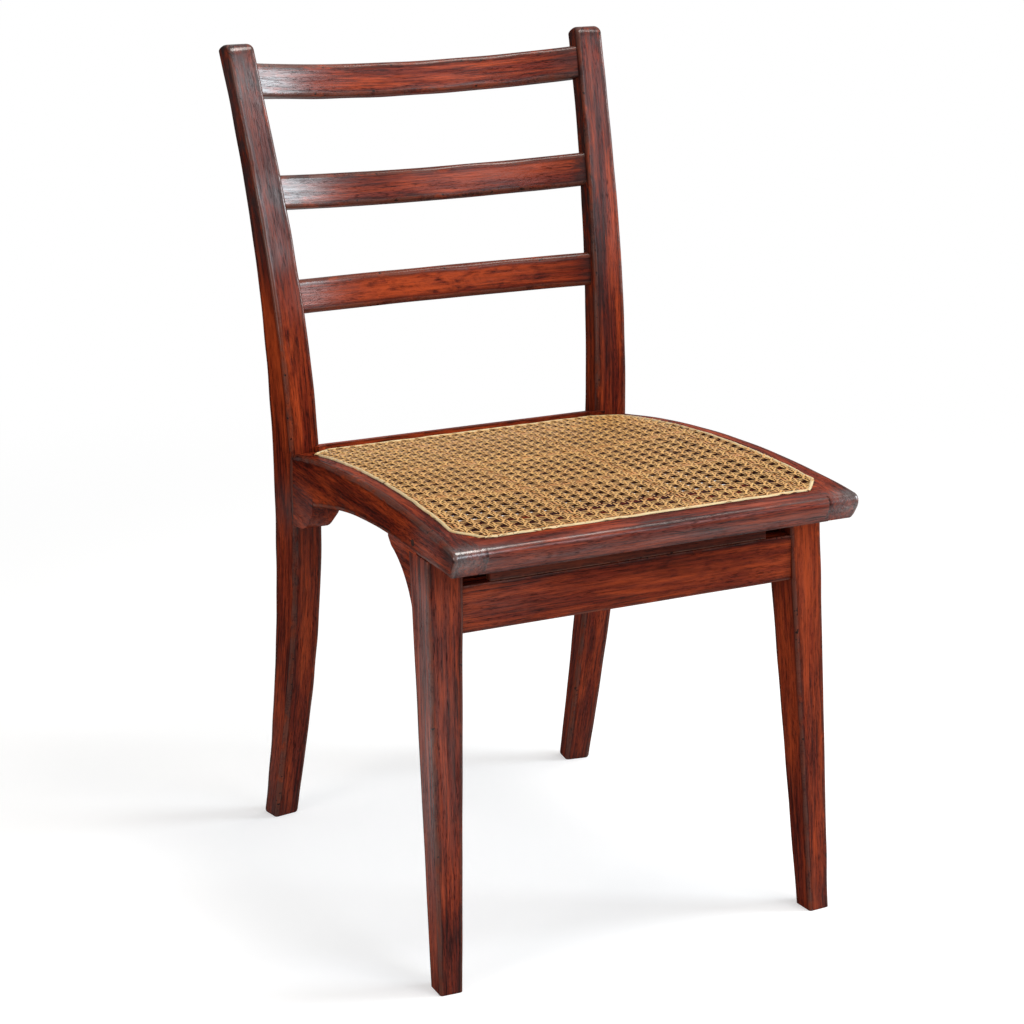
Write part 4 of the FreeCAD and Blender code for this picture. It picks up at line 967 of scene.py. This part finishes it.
def hardwood(name, deep, body, bright, streak, band, rubbed_colour, amount):
    """The chair's stained and polished hardwood: figure and wear, shiny only where the polish is whole, dark
    where staining has gathered and where shade is painted on."""
    material, tree, shader, _ = new_material(name)
    grain, edge = attribute(tree, "grain", "Vector"), attribute(tree, "edge")
    figure = group_node(tree, figure_group, {"Grain": grain, "Deep": (*deep, 1), "Body": (*body, 1),
                                             "Bright": (*bright, 1), "Streak": streak, "Band": band})
    wear = group_node(tree, wear_group, {"Edge": edge, "Place": grain, "Amount": amount})
    polish, stain_and_shade, glow = (attribute(tree, label) for label in ("polish", "stain_and_shade", "glow"))
    mottle = noise_along(tree, grain, 0.4, 120, 5, 0.65, 0.5)
    # Darker patches within about 4 mm of an arris
    darker_near_arrises = times(tree, ramp(tree, edge, 0.0042, 0.0004), ramp(tree, mottle, 0.30, 0.55))
    # Over the figure: brighter patches, then staining with painted shade, darker patches by the arrises,
    # rubbed arrises, scuffs and knocks
    colour = laid_over(
        tree, figure["Color"],
        (times(tree, glow, ramp(tree, mottle, 0.32, 0.62)), bright),
        (times(tree, stain_and_shade, ramp(tree, mottle, 0.25, 0.6)), GATHERED_STAIN_AND_SHADE),
        (times(tree, darker_near_arrises, 0.7), deep), (wear["Rubbed"], rubbed_colour),
        (times(tree, wear["Scuffs"], 0.1), SCUFFED), (wear["Knocks"], KNOCKED))
    dull = plus(tree, times(tree, wear["Rubbed"], 0.6), times(tree, figure["Pores"], 0.5))
    dull = plus(tree, dull, times(tree, wear["Scuffs"], 0.4))
    height = maths(tree, "SUBTRACT", figure["Height"], times(tree, wear["Knocks"], 1.2))
    bump = add(tree, "ShaderNodeBump", {"Height": height, "Strength": 0.35, "Distance": 0.0003})
    lines = noise_along(tree, grain, 0.05, 420, 5, 0.7)
    coat = times(tree, polish, ramp(tree, lines, 0.3, 0.62, 0.35, 1, "LINEAR"))
    coat = times(tree, coat, maths(tree, "SUBTRACT", 1, times(tree, figure["Pores"], 0.7)))
    arris = times(tree, times(tree, ramp(tree, edge, 0.0014, 0.0002), 0.10), ramp(tree, mottle, 0.35, 0.6))
    coat = maths(tree, "MINIMUM", plus(tree, coat, arris), 1)
    set_or_wire(tree, shader, {
        "Base Color": colour, "Roughness": ramp(tree, dull, 0, 1, 0.36, 0.55, "LINEAR"),
        "Normal": bump.outputs["Normal"], "Coat Weight": coat, "Coat Roughness": 0.27, "Coat IOR": 1.85,
        "IOR": 1.5, "Specular IOR Level": 0})
    return material


def cane_finish(name, base, warm, dark, woven=True):
    """Varnished cane: lengthwise fibre and blotches; a woven strand also has its own tint and painted shade
    on its sides.
    """
    material, tree, shader, _ = new_material(name)
    place = attribute(tree, "fibre", "Vector")
    lines = noise(tree, stretched(tree, place, 1, 0.02, 1), 2600, 2, 0.5)
    blotch = noise(tree, place, 60, 4, 0.6)
    colour = blend_colour(tree, ramp(tree, lines, 0.35, 0.7), base, tuple(c * 0.62 for c in base))
    if woven:
        colour = laid_over(
            tree, colour, (times(tree, attribute(tree, "tint"), 0.45), warm),
            (times(tree, attribute(tree, "warm"), 0.75), warm),
            (times(tree, ramp(tree, blotch, 0.5, 0.75), 0.5), dark),
            # Painted shade: the strand's sides and underside are darkened
            (ramp(tree, attribute(tree, "under"), 0.1, 0.75), dark))
    else:
        colour = blend_colour(tree, times(tree, ramp(tree, blotch, 0.48, 0.7), 0.7), colour, warm)
    bump = add(tree, "ShaderNodeBump", {"Height": lines, "Strength": 0.3, "Distance": 0.0002})
    set_or_wire(tree, shader, {"Base Color": colour, "Normal": bump.outputs["Normal"], "Roughness": 0.42,
                               "Specular IOR Level": 0.45})
    return material


# Linear colours of what lies over the figure
# The first colour darkens for real staining and for painted shade alike
GATHERED_STAIN_AND_SHADE = (0.026, 0.015, 0.015)
SCUFFED = (0.26, 0.13, 0.09)
KNOCKED = (0.016, 0.006, 0.004)

figure_group = build_figure_group()
wear_group = build_wear_group()
# For each hardwood: deep, body and bright colour, strength of streaks and bands, rubbed colour and its amount
finishes = {
    "frame_wood": hardwood("polished dark hardwood", (0.014, 0.0035, 0.003), (0.140, 0.016, 0.007),
                           (0.38, 0.056, 0.014), 0.9, 0.85, (0.22, 0.07, 0.04), 0.25),
    "strip_wood": hardwood("strip hardwood", (0.024, 0.008, 0.006), (0.12, 0.022, 0.012), (0.22, 0.05, 0.022),
                           0.8, 0.5, (0.30, 0.13, 0.08), 0.3),
    "peg_wood": hardwood("peg end grain", (0.012, 0.006, 0.005), (0.045, 0.018, 0.012), (0.09, 0.035, 0.02),
                         0.8, 0.3, (0.12, 0.06, 0.04), 0.3),
    "cane": cane_finish("varnished cane", (0.70, 0.40, 0.125), (0.44, 0.165, 0.036), (0.05, 0.013, 0.005)),
    "cane_spline": cane_finish("pale reed", (0.66, 0.50, 0.26), (0.50, 0.30, 0.12), (0.3, 0.16, 0.06), False),
}

make_posts()
make_legs()
make_slats()
make_side_rails()
make_front_rail()
make_back_rail()
make_boards()
make_glue_blocks()
make_small_blocks()
make_cane()
make_binder()

# Camera, in metres and degrees
CAMERA_PLACE = (-1.1714, -2.2849, 1.1394)
CAMERA_TURNS = ((-26.82, "Z"), (90 - 16.18, "X"), (-0.12, "Z"))
SENSOR = 36
FOCAL_PIXELS = 2539.6
IMAGE_PIXELS = 1024

# Soft lights: place, target, size, power and colour
LIGHTS = {
    "overhead softbox": ((0.7, -0.6, 3.2), (0, 0, 0.3), (1.2, 1.2), 70, (1, 0.97, 0.92)),
    "right softbox": ((2.8, -1.2, 1.4), (0, 0.1, 0.7), (1, 1.4), 80, (0.86, 0.94, 1)),
    "front softbox": ((1, -3.1, 1.95), (0, 0, 0.6), (1.4, 1), 34, (0.84, 0.91, 1)),
    "left softbox": ((-2.6, -0.9, 0.8), (-0.2, -0.1, 0.3), (1, 1), 28, (1, 0.93, 0.90)),
}
WHITE = (1, 1, 1, 1)
FLOOR_CORNERS = ((-14, -14, 0), (14, -14, 0), (14, 18, 0), (-14, 18, 0))
FLOOR_GREY = (0.55, 0.55, 0.55, 1)
FLOOR_LIFT = 0.52
FLOOR_FADE = (0.6, 2.2)
SURROUND_LIGHT = 0.27


def make_camera():
    """The camera at the photo's viewing angle, with the fitted focal length."""
    data = bpy.data.cameras.new("viewpoint")
    data.sensor_width = SENSOR
    data.lens = SENSOR * FOCAL_PIXELS / IMAGE_PIXELS
    data.clip_end = 50
    camera = in_scene("viewpoint", data)
    camera.matrix_world = Matrix.Translation(CAMERA_PLACE)
    for angle, axis in CAMERA_TURNS:
        camera.matrix_world = camera.matrix_world @ Matrix.Rotation(math.radians(angle), 4, axis)
    bpy.context.scene.camera = camera


def make_light(name, place, target, size, power, colour):
    """A rectangular soft light facing its target."""
    data = bpy.data.lights.new(name, "AREA")
    data.shape = "RECTANGLE"
    data.size, data.size_y = size
    data.energy = power
    data.color = colour
    light = in_scene(name, data)
    light.location = place
    light.rotation_euler = (Vector(target) - Vector(place)).to_track_quat("-Z", "Y").to_euler()


def seen_directly(tree):
    """1 for camera, glossy and transmission rays, 0 for the light that falls on the chair."""
    rays = tree.nodes.new("ShaderNodeLightPath").outputs
    seen = maths(tree, "MAXIMUM", rays["Is Camera Ray"], rays["Is Glossy Ray"])
    return maths(tree, "MAXIMUM", seen, rays["Is Transmission Ray"])


def make_floor():
    """A pale floor that keeps the chair's shadow, lifted by an even white, wholly white further off."""
    mesh = bpy.data.meshes.new("floor")
    mesh.from_pydata(FLOOR_CORNERS, [], [(0, 1, 2, 3)])
    floor = in_scene("floor", mesh)
    material, tree, shader, out = new_material("pale floor")
    set_or_wire(tree, shader, {"Base Color": FLOOR_GREY, "Roughness": 0.9, "Specular IOR Level": 0})
    place = add(tree, "ShaderNodeTexCoord").outputs["Object"]
    away = add(tree, "ShaderNodeVectorMath", {0: place}, operation="LENGTH").outputs["Value"]
    white = add(tree, "ShaderNodeEmission", {"Color": WHITE, "Strength": 1})
    lift = add(tree, "ShaderNodeEmission", {"Color": WHITE, "Strength": FLOOR_LIFT})
    near = add(tree, "ShaderNodeAddShader", {0: shader.outputs[0], 1: lift.outputs[0]})
    fade = ramp(tree, away, *FLOOR_FADE)
    far = add(tree, "ShaderNodeMixShader", {0: fade, 1: near.outputs[0], 2: white.outputs[0]})
    look = add(tree, "ShaderNodeMixShader", {0: seen_directly(tree), 1: shader.outputs[0], 2: far.outputs[0]})
    tree.links.new(look.outputs[0], out.inputs["Surface"])
    mesh.materials.append(material)


def make_world():
    """An even pale surround: soft light for the chair, white to the camera and to reflections."""
    world = bpy.data.worlds.new("studio")
    world.use_nodes = True
    bpy.context.scene.world = world
    tree = world.node_tree
    tree.nodes.clear()
    strength = ramp(tree, seen_directly(tree), 0, 1, SURROUND_LIGHT, 1, "LINEAR")
    surround = add(tree, "ShaderNodeBackground", {"Color": WHITE, "Strength": strength})
    out = tree.nodes.new("ShaderNodeOutputWorld")
    tree.links.new(surround.outputs[0], out.inputs["Surface"])


make_camera()
make_floor()
make_world()
for light_name, light_values in LIGHTS.items():
    make_light(light_name, *light_values)

bpy.context.scene.view_settings.view_transform = "Standard"
